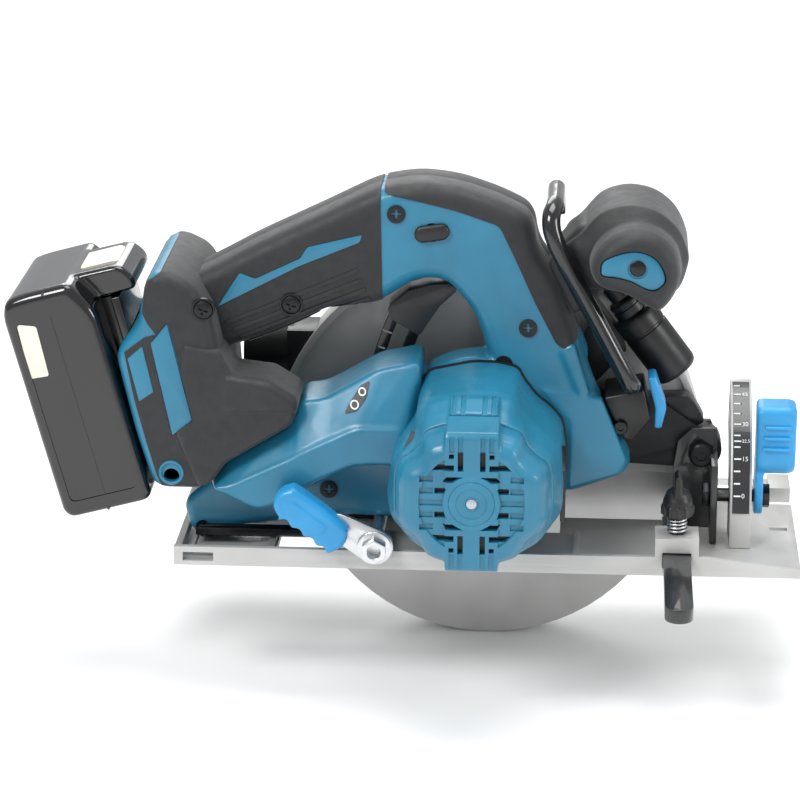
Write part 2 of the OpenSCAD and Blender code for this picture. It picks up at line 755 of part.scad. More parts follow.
module battery_button() {
    color("#e9e6d2") lean_back() intersection() {
        translate([0, 12.5, 0]) rotate([90, 0, 0]) linear_extrude(25)
            polygon([[-13, 90.4], [7.4, 90.4], [7.4, 104.8], [3, 104.8], [-13, 94.4]]);
        box_at(-13, 7.5, -12.5, 12.5, 90, 106);
    }
}
module terminal_block() {
    color("#26282a") lean_back() {
        box_at(-8.6, -0.4, -17.8, 17.8, 2.1, 6);
    }
    color("gold") lean_back() for (y = [-14, 0, 14])
        box_at(-7, -3, y - 0.4, y + 0.4, 5.8, 20);
}

// ---- hook, wrench, lever and screws ----
module hook() {
    color("#141516") {
        hull() {
            translate([64.5, -70, 82]) sphere(r = 4, $fn = 24);
            translate([33, -70, 139]) sphere(r = 4, $fn = 24);
        }
        hull() {
            translate([33, -70, 139]) sphere(r = 4, $fn = 24);
            translate([27.5, -70, 152]) sphere(r = 4, $fn = 24);
        }
        hull() {
            translate([27.5, -70, 152]) sphere(r = 4, $fn = 24);
            translate([30, -62, 158]) sphere(r = 4.6, $fn = 24);
        }
        hull() {
            translate([30, -62, 158]) sphere(r = 4.6, $fn = 24);
            translate([30, -26, 158]) sphere(r = 4.6, $fn = 24);
        }
        hull() {
            translate([64.5, -70, 82]) sphere(r = 4, $fn = 24);
            translate([64.5, -62.5, 78]) sphere(r = 4, $fn = 24);
        }
        bar_x(-62.5, 78, 61.5, 67.5, 4.1);
    }
}
module hex_wrench() {
    color("#2a2b2d") {
        hex_y(-125, 8.5, -69, -50, 2.9);
        translate([-127.6, -67.3, 8.5]) rotate([0, 90, 0]) cylinder(h = 66, r = 2.9, $fn = 6);
    }
}
module depth_lock_bolt() {
    color("silver") {
        bar_y(lock_x, lock_z, -96, -28, 2.95);
        box_at(lock_x - 2.8, lock_x + 2.8, -29.8, -27, lock_z - 5, lock_z + 5);
    }
}
module depth_lever() {
    color("#a9abad") difference() {
        slab(-95, -92) hull() {
            translate([lock_x, lock_z]) circle(r = 8);
            translate([-62, 21]) circle(r = 6);
        }
        bar_y(lock_x, lock_z, -97, -90, 3);
    }
}
module depth_lever_grip() {
    color(lever_blue) difference() {
        slab(-102, -91) hull() {
            translate([-66, 18]) circle(r = 7.5);
            translate([-81, 31]) circle(r = 8);
        }
        slab(-95.1, -91.9) hull() {
            translate([lock_x, lock_z]) circle(r = 8.1);
            translate([-62, 21]) circle(r = 6.1);
        }
    }
}
module depth_nut() {
    color("silver") difference() {
        union() {
            bar_y(lock_x, lock_z, -96.4, -95.1, 7.6);
            hex_y(lock_x, lock_z, -101.4, -96.4, 5.8);
        }
        bar_y(lock_x, lock_z, -102, -95, 3);
    }
}
module case_screws() {
    color("#202123") {
        for (p = [[-123, 109], [-84.3, 112.8], [-38.5, 154], [19, 103.8], [45.3, 59.5]])
            screw_y(p[0], p[1], mid_y - half_w - 0.8, 4, 10);
        screw_y(8.5, 87, -64.8, 4, 10);
        screw_y(-68.5, 27.5, -64.8, 4, 10);
    }
}
module lead_wires() {
    color("#8a2f2a") slab(-58, -55) polygon([[-118, 100], [-96, 112], [-66, 124], [-36, 138], [-36, 141],
        [-68, 127], [-97, 115], [-120, 104]]);
}

base_plate();
bevel_quadrant();
bevel_scale();
bevel_pins();
rip_fence();
fence_screw();
fence_spring();
front_bracket();
depth_pivot_bolt();
rear_bracket();
depth_guide();
bevel_lever();
bevel_bolt();
blade_case();
dust_nozzle();
gear_housing();
gear_cover();
ball_bearings();
motor_housing();
motor_cover();
stator();
stator_coils();
right_shell();
left_shell();
grip_right();
grip_left();
grip_inlay();
front_grip();
grip_insert();
lamp();
lamp_bracket();
lock_bracket();
shaft_lock();
lower_guard();
guard_lever();
guard_spring();
blade();
inner_flange();
outer_flange();
blade_bolt();
spindle_shaft();
blade_gear();
rotor_shaft();
rotor_core();
fan();
trigger();
trigger_switch();
lock_off();
controller();
battery_body();
battery_button();
terminal_block();
hook();
hex_wrench();
depth_lock_bolt();
depth_lever();
depth_lever_grip();
depth_nut();
case_screws();
lead_wires();
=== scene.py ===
"""Cordless circular saw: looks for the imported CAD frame. All lengths in metres."""
import json
import math

import bmesh
import bpy
from mathutils import Matrix, Vector
from mathutils.geometry import tessellate_polygon


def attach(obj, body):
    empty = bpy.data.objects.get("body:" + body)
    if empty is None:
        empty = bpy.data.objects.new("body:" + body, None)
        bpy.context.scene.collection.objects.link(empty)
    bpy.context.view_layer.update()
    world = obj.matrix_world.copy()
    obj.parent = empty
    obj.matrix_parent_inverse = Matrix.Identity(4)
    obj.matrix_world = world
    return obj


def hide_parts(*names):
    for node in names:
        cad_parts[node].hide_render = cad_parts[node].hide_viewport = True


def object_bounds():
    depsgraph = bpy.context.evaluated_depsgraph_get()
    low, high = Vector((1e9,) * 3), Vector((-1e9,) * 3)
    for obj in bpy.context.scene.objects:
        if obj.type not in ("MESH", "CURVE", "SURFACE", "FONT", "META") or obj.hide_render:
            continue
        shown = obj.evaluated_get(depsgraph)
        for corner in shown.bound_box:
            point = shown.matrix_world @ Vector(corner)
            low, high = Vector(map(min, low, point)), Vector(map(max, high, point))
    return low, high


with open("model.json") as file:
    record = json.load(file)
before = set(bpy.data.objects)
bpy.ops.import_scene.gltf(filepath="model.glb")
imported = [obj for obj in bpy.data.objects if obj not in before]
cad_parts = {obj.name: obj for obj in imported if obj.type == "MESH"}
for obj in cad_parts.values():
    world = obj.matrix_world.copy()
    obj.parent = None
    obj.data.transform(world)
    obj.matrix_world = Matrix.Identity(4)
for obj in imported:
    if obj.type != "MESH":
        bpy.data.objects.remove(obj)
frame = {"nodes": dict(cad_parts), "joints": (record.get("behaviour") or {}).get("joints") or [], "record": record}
cad_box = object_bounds()
NODES = frame["nodes"]
RECORD = frame["record"]
JOINTS = {j["name"]: j for j in frame["joints"]}
MM = 0.001

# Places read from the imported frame, in millimetres.
BLADE = [v / MM for v in JOINTS["blade_spin"]["pos_m"]]
MOTOR = [v / MM for v in JOINTS["rotor_spin"]["pos_m"]]
BEVEL = [v / MM for v in JOINTS["bevel_tilt"]["pos_m"]]
LOCK = [v / MM for v in JOINTS["depth_clamp_turn"]["pos_m"]]
LEVER = [v / MM for v in JOINTS["bevel_clamp_turn"]["pos_m"]]
KNOB = [v / MM for v in JOINTS["fence_knob_turn"]["pos_m"]]
PIVOT = [v / MM for v in JOINTS["depth_swing"]["pos_m"]]
# Given here: the lean of the battery rails, the handle's middle and half width, the two faces of the foot, and the
# cell size that melts solids into one skin.
LEAN = math.radians(15)
MID_Y = -46.0
HALF_W = 18.0
FOOT_NEAR = -83.5
FOOT_FAR = -8.5
VOXEL = 0.8


# ---------------------------------------------------------------- materials
class Shader:
    """A small builder for a Principled material on object coordinates."""

    def __init__(self, name):
        self.mat = bpy.data.materials.new(name)
        self.mat.use_nodes = True
        self.tree = self.mat.node_tree
        self.bsdf = self.tree.nodes["Principled BSDF"]
        self.coord = self.node("ShaderNodeTexCoord").outputs["Object"]

    def node(self, kind, **sockets):
        made = self.tree.nodes.new(kind)
        for key, value in sockets.items():
            made.inputs[key].default_value = value
        return made

    def link(self, a, b):
        self.tree.links.new(a, b)

    def noise(self, scale, detail=4.0, stretch=(1, 1, 1)):
        mapping = self.node("ShaderNodeMapping")
        mapping.inputs["Scale"].default_value = stretch
        tex = self.node("ShaderNodeTexNoise", Scale=scale, Detail=detail)
        self.link(self.coord, mapping.inputs["Vector"])
        self.link(mapping.outputs["Vector"], tex.inputs["Vector"])
        return tex.outputs["Fac"]

    def ramp(self, source, low, high, start=0.3, end=0.7):
        ramp = self.node("ShaderNodeValToRGB")
        ramp.color_ramp.elements[0].position = start
        ramp.color_ramp.elements[1].position = end
        ramp.color_ramp.elements[0].color = (*low, 1)
        ramp.color_ramp.elements[1].color = (*high, 1)
        self.link(source, ramp.inputs["Fac"])
        return ramp.outputs["Color"]

    def span(self, source, low, high, start=0.3, end=0.7):
        rng = self.node("ShaderNodeMapRange")
        for key, value in (("From Min", start), ("From Max", end), ("To Min", low), ("To Max", high)):
            rng.inputs[key].default_value = value
        self.link(source, rng.inputs["Value"])
        return rng.outputs["Result"]

    def bump(self, source, strength, depth, after=None):
        bump = self.node("ShaderNodeBump", Strength=strength, Distance=depth)
        self.link(source, bump.inputs["Height"])
        if after is not None:
            self.link(after, bump.inputs["Normal"])
        return bump.outputs["Normal"]


def tint(colour, factor):
    return tuple(min(1.0, c * factor) for c in colour)


def moulded(name, colour, rough=0.42, grain=2600, depth=0.00004, edge_highlight=0.12, coat=0.0):
    """Moulded plastic: spark-eroded grain, slight mottling, and a painted highlight that makes the convex edges
    paler.
    """
    s = Shader(name)
    mottled = s.ramp(s.noise(55, 3), tint(colour, 0.90), tint(colour, 1.10))
    geometry = s.node("ShaderNodeNewGeometry")
    # painted highlight: convex edges, found by pointiness, are mixed towards a much paler tint of the colour
    edge = s.span(geometry.outputs["Pointiness"], 0.0, edge_highlight, 0.53, 0.62)
    mix = s.node("ShaderNodeMixRGB")
    mix.inputs["Color2"].default_value = (*tint(colour, 1.9), 1)
    s.link(edge, mix.inputs["Fac"])
    s.link(mottled, mix.inputs["Color1"])
    s.link(mix.outputs["Color"], s.bsdf.inputs["Base Color"])
    s.link(s.span(s.noise(140, 5), rough - 0.05, rough + 0.08), s.bsdf.inputs["Roughness"])
    s.link(s.bump(s.noise(grain, 2), 0.35, depth), s.bsdf.inputs["Normal"])
    s.bsdf.inputs["Coat Weight"].default_value = coat
    s.bsdf.inputs["Coat Roughness"].default_value = 0.08
    return s.mat


def elastomer(name, colour):
    """Soft overmould with a fine leather-like pebble."""
    s = Shader(name)
    s.link(s.ramp(s.noise(70, 4), tint(colour, 0.8), tint(colour, 1.25)), s.bsdf.inputs["Base Color"])
    s.link(s.span(s.noise(200, 3), 0.52, 0.68), s.bsdf.inputs["Roughness"])
    pebble = s.node("ShaderNodeTexVoronoi", Scale=1500.0)
    s.link(s.coord, pebble.inputs["Vector"])
    fine = s.bump(s.noise(3200, 2), 0.3, 0.00003)
    s.link(s.bump(pebble.outputs["Distance"], 0.4, 0.00008, fine), s.bsdf.inputs["Normal"])
    s.bsdf.inputs["Sheen Weight"].default_value = 0.15
    return s.mat


def painted_cast(name, colour, rough=0.5, metal=0.35):
    """Painted or bead-blasted light alloy casting."""
    s = Shader(name)
    s.link(s.ramp(s.noise(45, 5), tint(colour, 0.92), tint(colour, 1.06)), s.bsdf.inputs["Base Color"])
    s.link(s.span(s.noise(180, 4), rough - 0.08, rough + 0.1), s.bsdf.inputs["Roughness"])
    s.link(s.bump(s.noise(900, 5), 0.35, 0.00006), s.bsdf.inputs["Normal"])
    s.bsdf.inputs["Metallic"].default_value = metal
    return s.mat


def machined(name, colour, rough=0.28, stretch=(1, 40, 1), metal=1.0):
    """Turned or ground steel with fine directional marks."""
    s = Shader(name)
    s.link(s.ramp(s.noise(60, 3), tint(colour, 0.85), tint(colour, 1.1)), s.bsdf.inputs["Base Color"])
    s.link(s.span(s.noise(240, 3, stretch), rough - 0.08, rough + 0.12), s.bsdf.inputs["Roughness"])
    s.link(s.bump(s.noise(420, 3, stretch), 0.2, 0.00003), s.bsdf.inputs["Normal"])
    s.bsdf.inputs["Metallic"].default_value = metal
    return s.mat


def glossy(name, colour, rough=0.12, orange_peel=0.00003):
    """Polished black moulding or gloss paint with faint orange peel and uneven gloss."""
    s = Shader(name)
    s.link(s.ramp(s.noise(30, 2), tint(colour, 0.8), tint(colour, 1.3)), s.bsdf.inputs["Base Color"])
    s.link(s.span(s.noise(500, 6), rough, rough + 0.07), s.bsdf.inputs["Roughness"])
    s.link(s.bump(s.noise(260, 2), 0.25, orange_peel), s.bsdf.inputs["Normal"])
    s.bsdf.inputs["Coat Weight"].default_value = 0.5
    s.bsdf.inputs["Coat Roughness"].default_value = 0.05
    return s.mat


BLUE = (0.013, 0.158, 0.262)
MATERIALS = {
    "shell_blue": moulded("shell_blue", BLUE, rough=0.36, coat=0.15),
    "shell_dark": moulded("shell_dark", BLUE, rough=0.36, coat=0.15),
    "lever_blue": moulded("lever_blue", (0.020, 0.270, 0.560), rough=0.38, coat=0.1),
    "grip_rubber": elastomer("grip_rubber", (0.0105, 0.011, 0.012)),
    "black_plastic": moulded("black_plastic", (0.007, 0.007, 0.0075), rough=0.38, edge_highlight=0.05),
    "battery_black": glossy("battery_black", (0.0035, 0.0035, 0.004)),
    "hook_black": glossy("hook_black", (0.004, 0.004, 0.0045), rough=0.16),
    "cream": moulded("cream", (0.74, 0.72, 0.58), rough=0.4, edge_highlight=0.0),
    "cast_alu": painted_cast("cast_alu", (0.50, 0.50, 0.485)),
    "guard_metal": painted_cast("guard_metal", (0.50, 0.50, 0.49), rough=0.42),
    "gear_cast": painted_cast("gear_cast", (0.010, 0.0105, 0.0115), rough=0.45, metal=0.2),
    "black_steel": glossy("black_steel", (0.014, 0.014, 0.015), rough=0.3, orange_peel=0.00006),
    "bright_steel": machined("bright_steel", (0.62, 0.63, 0.64)),
    "dark_steel": machined("dark_steel", (0.035, 0.036, 0.038), rough=0.32),
    "blade_steel": machined("blade_steel", (0.66, 0.67, 0.68), rough=0.25, stretch=(1, 1, 30)),
    "gear_steel": machined("gear_steel", (0.45, 0.46, 0.48)),
    "core_iron": machined("core_iron", (0.20, 0.20, 0.21), rough=0.45, stretch=(1, 60, 1)),
    "copper": machined("copper", (0.72, 0.34, 0.14), rough=0.3, stretch=(1, 60, 1)),
    "board": moulded("board", (0.02, 0.12, 0.06), rough=0.5, edge_highlight=0.0),
    "wire": moulded("wire", (0.40, 0.03, 0.02), rough=0.45, edge_highlight=0.0),
    "white_print": moulded("white_print", (0.78, 0.79, 0.80), rough=0.5, edge_highlight=0.0),
    "label_silver": machined("label_silver", (0.50, 0.52, 0.54), rough=0.35, metal=0.6),
}
# Every CAD node starts with the better material of its slot.
for part in RECORD["subparts"]:
    mesh = NODES[part["node"]].data
    mesh.materials.clear()
    mesh.materials.append(MATERIALS[part["material_slot"]])


# ------------------------------------------------------------- mesh helpers
def link_mesh(name, bm, slot, material=None):
    """Turn a bmesh in millimetres into a named object in metres."""
    bmesh.ops.recalc_face_normals(bm, faces=bm.faces[:])
    bmesh.ops.scale(bm, vec=(MM, MM, MM), verts=bm.verts[:])
    mesh = bpy.data.meshes.new(name)
    bm.to_mesh(mesh)
    bm.free()
    obj = bpy.data.objects.new(name, mesh)
    bpy.context.scene.collection.objects.link(obj)
    mesh.materials.append(MATERIALS[material or slot])
    obj["slot_name"] = slot
    return obj


def as_piece(obj, body, *nodes):
    """Put one finished object on its moving body, in place of the named CAD nodes."""
    slot = obj.pop("slot_name", None) or "black_plastic"
    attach(obj, body)
    if nodes:
        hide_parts(*nodes)
    return obj


def smooth(obj, angle=35):
    for poly in obj.data.polygons:
        poly.use_smooth = True
    obj.data.set_sharp_from_angle(angle=math.radians(angle))
    return obj


def apply(obj):
    """Bake the modifier stack into the mesh."""
    deps = bpy.context.evaluated_depsgraph_get()
    mesh = bpy.data.meshes.new_from_object(obj.evaluated_get(deps))
    old = obj.data
    obj.modifiers.clear()
    obj.data = mesh
    bpy.data.meshes.remove(old)
    return obj


def bevel(obj, width, segments=3, angle=30, sharp=35):
    """Round the edges, then shade smooth."""
    mod = obj.modifiers.new("edge", "BEVEL")
    mod.width = width * MM
    mod.segments = segments
    mod.limit_method = "ANGLE"
    mod.angle_limit = math.radians(angle)
    mod.use_clamp_overlap = True
    mod.harden_normals = False
    return smooth(apply(obj), sharp)


def remesh(obj, voxel=None, passes=4, sharp=60):
    """Melt overlapping solids into one skin with soft edges and fillets."""
    mod = obj.modifiers.new("skin", "REMESH")
    mod.mode = "VOXEL"
    mod.voxel_size = (voxel or VOXEL) * MM
    soft = obj.modifiers.new("soft", "SMOOTH")
    soft.factor = 0.5
    soft.iterations = passes
    return smooth(apply(obj), sharp)


def combine(main, tools, operation="UNION"):
    """Boolean the tool objects into the main one and drop them."""
    for tool in tools:
        mod = main.modifiers.new("cut", "BOOLEAN")
        mod.operation = operation
        mod.object = tool
        mod.solver = "EXACT"
        apply(main)
        bpy.data.objects.remove(tool, do_unlink=True)
    return main


def merge(objs):
    """Join several meshes into the first, without welding them."""
    main = objs[0]
    bm = bmesh.new()
    for obj in objs:
        bm.from_mesh(obj.data)
    bm.to_mesh(main.data)
    bm.free()
    for obj in objs[1:]:
        bpy.data.objects.remove(obj, do_unlink=True)
    return main


def rounded(points, radius, steps=4):
    """Outline with each corner replaced by a small arc-like curve."""
    out = []
    count = len(points)
    for i, point in enumerate(points):
        p = Vector(point)
        before = Vector(points[i - 1]) - p
        after = Vector(points[(i + 1) % count]) - p
        reach = min(radius, before.length * 0.45, after.length * 0.45)
        a, b = p + before.normalized() * reach, p + after.normalized() * reach
        for k in range(steps + 1):
            t = k / steps
            out.append(tuple(a * (1 - t) ** 2 + p * 2 * t * (1 - t) + b * t ** 2))
    return out


def catmull(points, t):
    """Point at share t between the middle two of four points."""
    p0, p1, p2, p3 = points
    return 0.5 * (2 * p1 + (p2 - p0) * t + (2 * p0 - 5 * p1 + 4 * p2 - p3) * t ** 2
                  + (3 * p1 - p0 - 3 * p2 + p3) * t ** 3)


def curve_through(points, steps=6):
    """Closed Catmull-Rom curve through the given points."""
    out = []
    for i in range(len(points)):
        stretch = [Vector(points[(i + k) % len(points)]) for k in (-1, 0, 1, 2)]
        out += [tuple(catmull(stretch, k / steps)) for k in range(steps)]
    return out


def circle(cx, cz, r, count=48):
    return [(cx + r * math.cos(2 * math.pi * k / count), cz + r * math.sin(2 * math.pi * k / count))
            for k in range(count)]


def loft(name, sections, slot, material=None, closed_ends=True):
    """Skin through a list of equal-length rings of 3-D points."""
    bm = bmesh.new()
    rings = [[bm.verts.new(p) for p in ring] for ring in sections]
    count = len(rings[0])
    for low, high in zip(rings, rings[1:]):
        for k in range(count):
            bm.faces.new((low[k], low[(k + 1) % count], high[(k + 1) % count], high[k]))
    if closed_ends:
        for ring, points in ((rings[0], sections[0]), (rings[-1], sections[-1])):
            for tri in tessellate_polygon([[Vector(p) for p in points]]):
                if len(set(tri)) == 3:
                    bm.faces.new([ring[k] for k in tri])
    bmesh.ops.remove_doubles(bm, verts=bm.verts[:], dist=0.0005)
    bmesh.ops.dissolve_degenerate(bm, dist=0.0002, edges=bm.edges[:])
    return link_mesh(name, bm, slot, material)


def slab(name, outline, y0, y1, slot, material=None):
    """Outline in X and Z, drawn out along Y."""
    return loft(name, [[(x, y, z) for x, z in outline] for y in (y0, y1)], slot, material)


def signed_area(outline):
    return sum(a[0] * b[1] - b[0] * a[1] for a, b in zip(outline, outline[1:] + outline[:1])) / 2


def edge_distance(point, outline):
    """Shortest distance from a point to the closed outline."""
    best = 1e9
    for a, b in zip(outline, outline[1:] + outline[:1]):
        a, b = Vector(a), Vector(b)
        span = b - a
        share = 0.0 if span.length < 1e-9 else max(0.0,
                                                   min(1.0, (point - a).dot(span) / span.length_squared))
        best = min(best, (point - a - span * share).length)
    return best


def inset(outline, amount):
    """Each point moved inward along the local normal; a negative amount moves it outward."""
    sign = 1 if signed_area(outline) > 0 else -1
    out = []
    for k, point in enumerate(outline):
        tangent = Vector(outline[(k + 1) % len(outline)]) - Vector(outline[k - 1])
        normal = Vector((tangent.y, -tangent.x)).normalized() * sign
        out.append(Vector(point) - normal * amount)
    if amount <= 1.0:
        return [tuple(p) for p in out]
    # points that crossed over at a tight corner fall back on their last good neighbour
    good = [edge_distance(p, outline) > amount * 0.93 for p in out]
    start = good.index(True)
    last, fixed = out[start], {}
    for k in range(start, start + len(out)):
        last = out[k % len(out)] if good[k % len(out)] else last
        fixed[k % len(out)] = tuple(last)
    return [fixed[k] for k in range(len(out))]


def pillow(name, outline, levels, slot, material=None):
    """Outline in X and Z at several Y levels, each moved inward by its own amount: (y, inset)."""
    return loft(name, [[(x, y, z) for x, z in inset(outline, amount)] for y, amount in levels], slot,
                material)


def lathe(name, profile, centre, axis, slot, material=None, count=64):
    """Turn a profile of (radius, along) pairs about an axis through a point."""
    axis = Vector(axis).normalized()
    side = axis.orthogonal().normalized()
    up = axis.cross(side)
    rings = []
    for radius, along in profile:
        middle = Vector(centre) + axis * along
        rings.append([tuple(middle + side * (radius * math.cos(t)) + up * (radius * math.sin(t)))
                      for t in (2 * math.pi * k / count for k in range(count))])
    return loft(name, rings, slot, material)


def block(name, lo, hi, slot, material=None, turn=None, centre=None):
    """Axis-aligned box between two corners, optionally turned about a point."""
    bm = bmesh.new()
    bmesh.ops.create_cube(bm, size=1.0)
    mid = [(a + b) / 2 for a, b in zip(lo, hi)]
    bmesh.ops.scale(bm, vec=[b - a for a, b in zip(lo, hi)], verts=bm.verts[:])
    bmesh.ops.translate(bm, vec=mid, verts=bm.verts[:])
    if turn is not None:
        spot = Matrix.Translation(centre)
        bmesh.ops.transform(bm, matrix=spot @ turn @ spot.inverted(), verts=bm.verts[:])
    return link_mesh(name, bm, slot, material)


def tube(name, path, radius, slot, material=None, count=20):
    """Round bar along a path of points, ends closed; radius may be a list."""
    radii = radius if isinstance(radius, (list, tuple)) else [radius] * len(path)
    pts = [Vector(p) for p in path]
    rings = []
    side = None
    for k, point in enumerate(pts):
        ahead = (pts[min(k + 1, len(pts) - 1)] - pts[max(k - 1, 0)]).normalized()
        side = ahead.orthogonal() if side is None else side - ahead * side.dot(ahead)
        side.normalize()
        up = ahead.cross(side)
        rings.append([tuple(point + (side * math.cos(t) + up * math.sin(t)) * radii[k])
                      for t in (2 * math.pi * i / count for i in range(count))])
    return loft(name, rings, slot, material)


def soften_path(points, steps=6):
    """Open Catmull-Rom path through 3-D points."""
    pts = [Vector(points[0])] + [Vector(p) for p in points] + [Vector(points[-1])]
    out = []
    for i in range(1, len(pts) - 2):
        out += [catmull(pts[i - 1:i + 3], k / steps) for k in range(steps)]
    out.append(pts[-1])
    return out


def finish_cad(node, width=0.6, segments=2, sharp=35):
    """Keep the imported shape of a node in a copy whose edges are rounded."""
    src = NODES[node]
    obj = bpy.data.objects.new("fine_" + node, src.data.copy())
    obj.matrix_world = src.matrix_world.copy()
    bpy.context.scene.collection.objects.link(obj)
    bm = bmesh.new()
    bm.from_mesh(obj.data)
    bmesh.ops.remove_doubles(bm, verts=bm.verts[:], dist=0.00001)
    bmesh.ops.dissolve_limit(bm, angle_limit=math.radians(1.0), verts=bm.verts[:], edges=bm.edges[:])
    bm.to_mesh(obj.data)
    bm.free()
    part = next(p for p in RECORD["subparts"] if p["node"] == node)
    obj["slot_name"] = part["material_slot"]
    return bevel(obj, width, segments, 25, sharp)


# ------------------------------------------------------------ handle shells
HANDLE = [(-134, 120), (-118, 128), (-100, 138), (-73, 151), (-47, 164), (-29, 167), (-12, 165), (6, 159),
          (20, 152), (22, 138), (30, 127), (40, 100), (48, 76), (65, 42), (63, 36), (36, 26), (2, 40),
          (2, 90),
          (-5, 110), (-17, 124), (-30, 124), (-46, 113), (-66, 112), (-93, 99), (-115, 91), (-124, 96)]
HANDLE_LEFT = [(-134, 120), (-118, 128), (-100, 138), (-73, 151), (-47, 164), (-29, 167), (-12, 165),
               (6, 159),
               (20, 152), (22, 138), (30, 127), (40, 100), (47, 83), (0, 83), (-1, 96), (-5, 110),
               (-17, 124),
               (-30, 124), (-46, 113), (-66, 112), (-93, 99), (-115, 91), (-124, 96)]
GRIP = [(-140, 112), (-140, 128), (-118, 134), (-100, 143), (-73, 156), (-47, 170), (-45.5, 165),
        (-44.5, 113),
        (-46, 104), (-66, 104), (-93, 92), (-115, 84), (-130, 90)]
TOP_BAND = [(-44, 163), (-44, 172), (-12, 171), (8, 164), (26, 156), (28, 139), (37, 128), (47, 101),
            (41, 99),
            (36, 94), (31.5, 96.5), (22, 115), (13, 135), (6, 149.5), (-13, 156), (-32, 160.5)]
INLAY = [(-116.6, 111.3), (-106.8, 126.6), (-100, 124), (-80.2, 133.6), (-77.2, 138.6), (-53.3, 144.6),
         (-54.3, 141.3), (-80.3, 130.4)]
ARM_BACK = [(-121, 33), (-114, 43), (-85, 60), (-80, 72), (-70, 73), (-46, 87), (-27, 91), (-27, 42),
            (-45, 43),
            (-58, 42), (-76, 32), (-92, 22), (-100, 20), (-112, 28)]
ARM_RIDGE = [(-119, 34.5), (-111, 36), (-84, 49), (-78, 52.5), (-70, 56.5), (-54.5, 64), (-34, 64),
             (-32, 46),
             (-45, 47), (-57, 46), (-75, 36.5), (-91, 27), (-99, 25), (-111, 31)]
FOOT_SOFT = [(-146.6, 125.9), (-147.2, 112.9), (-144.6, 107.9), (-141.3, 103.6), (-146.5, 102.2),
             (-155.4, 95.4),
             (-151.5, 74), (-146.5, 54), (-142.6, 40), (-140.5, 34.2), (-133, 31.8), (-123, 33),
             (-112, 45.5),
             (-105, 60), (-109, 92), (-113.5, 100), (-113, 108), (-116, 128), (-128, 130.5), (-137, 132.2)]
WEB = [(-124, 34), (-118.5, 36.2), (-112, 45.6), (-83.2, 63.4), (-80.2, 70.5), (-80.2, 76.5), (-91.9, 84),
       (-108.4, 86), (-114, 97), (-130, 100), (-134, 60)]
STRIPE = [(-143.6, 99.9), (-136.4, 108.6), (-126.4, 65.2), (-135.0, 58.3)]
BADGE = [(-154.0, 92.6), (-147.5, 98.2), (-143.1, 77.6), (-149.4, 73.2)]
FRONT_TAB = [(32.9, 93.8), (39.3, 97.6), (46.6, 74.0), (41.4, 72.6)]
FRONT_PLATE = [(24, 76.5), (47.1, 73), (51.5, 72.5), (63.4, 43.3), (59.8, 37.2), (37.5, 30), (37.5, 61)]
FOOT = [(-137, 131), (-144, 130), (-148, 118), (-150, 107), (-160, 94), (-157, 80), (-152, 58), (-146, 38),
        (-143, 33), (-122, 33), (-112, 60), (-114, 92), (-118, 112), (-126, 126)]
SKIRT = [(-134, 20), (-131, 8), (-125, 2), (-109, 9), (-60, 15), (-36, 14), (-34, 60), (-60, 60),
         (-110, 40)]
SHOULDER = ((0.0, 6.0), (0.8, 3.4), (2.4, 1.5), (5.0, 0.4), (8.0, 0.0))


def shoulders(side, reach, grow=0.0, scale=1.0):
    """Rounded-over levels from an outer face inward to the middle seam; side is -1 for the near face."""
    outer = MID_Y + side * (reach + grow)
    levels = [(outer - side * depth * scale, amount * scale - grow) for depth, amount in SHOULDER]
    return levels + [(MID_Y + 0.05 * side, -grow)]


def handle_half(name, side, grow=0.0, slot="shell_blue", material=None):
    shape = rounded(HANDLE if side < 0 else HANDLE_LEFT, 7, 5)
    return pillow(name, shape, shoulders(side, HALF_W, grow), slot, material)


def overlay(name, side, grow, region, slot, material=None, edge=0.25):
    """Skin-deep patch that follows the rounded handle inside a region."""
    half = handle_half(name, side, grow, slot, material)
    far = MID_Y + side * (HALF_W + 4)
    mask = slab("mask", region, min(far, MID_Y), max(far, MID_Y), slot)
    combine(half, [mask], "INTERSECT")
    return bevel(half, edge, 2, 40, 50)


def lean_point(w, u, y=0.0):
    """Battery frame to head frame: w rearward, u up the leaning rail, y from the middle."""
    return (-144.1 - w * math.cos(LEAN) - u * math.sin(LEAN), MID_Y + y,
            27 - w * math.sin(LEAN) + u * math.cos(LEAN))


def lean_outline(points):
    """(w, u) pairs of the battery frame as (x, z) pairs."""
    return [(p[0], p[2]) for p in (lean_point(w, u) for w, u in points)]


def rail_bar(name, w_range, u_range, half, slot):
    """Bar along the leaning rail, even about the middle of the handle."""
    (w0, w1), (u0, u1) = w_range, u_range
    shape = lean_outline([(w0, u0), (w1, u0), (w1, u1), (w0, u1)])
    return slab(name, shape, MID_Y - half, MID_Y + half, slot)


def foot_levels(grow):
    """Rounded-over levels across the battery foot, from its near face to its far one."""
    near, far = FOOT_NEAR - grow, FOOT_FAR + grow
    steps = ((0, 4.5), (0.7, 2.2), (2.7, 0.7), (5.5, 0))
    return ([(near + depth, amount - grow) for depth, amount in steps]
            + [(far - depth, amount - grow) for depth, amount in reversed(steps)])


def arm_loft(name, grow, slot):
    """Arm from the motor to the foot: a sloped upper face that falls back from a ridge."""
    ridge, back = rounded(ARM_RIDGE, 4), rounded(ARM_BACK, 4)
    levels = ((-86.4, ridge, 1.6), (-85.8, ridge, 0.5), (-84.8, ridge, 0.0), (-75.5, back, 0.4),
              (-73.5, back, 0.0),
              (-46, back, 0.0))
    return loft(name, [[(x, y - grow, z) for x, z in inset(shape, amount - grow)] for y, shape,
                       amount in levels],
                slot)


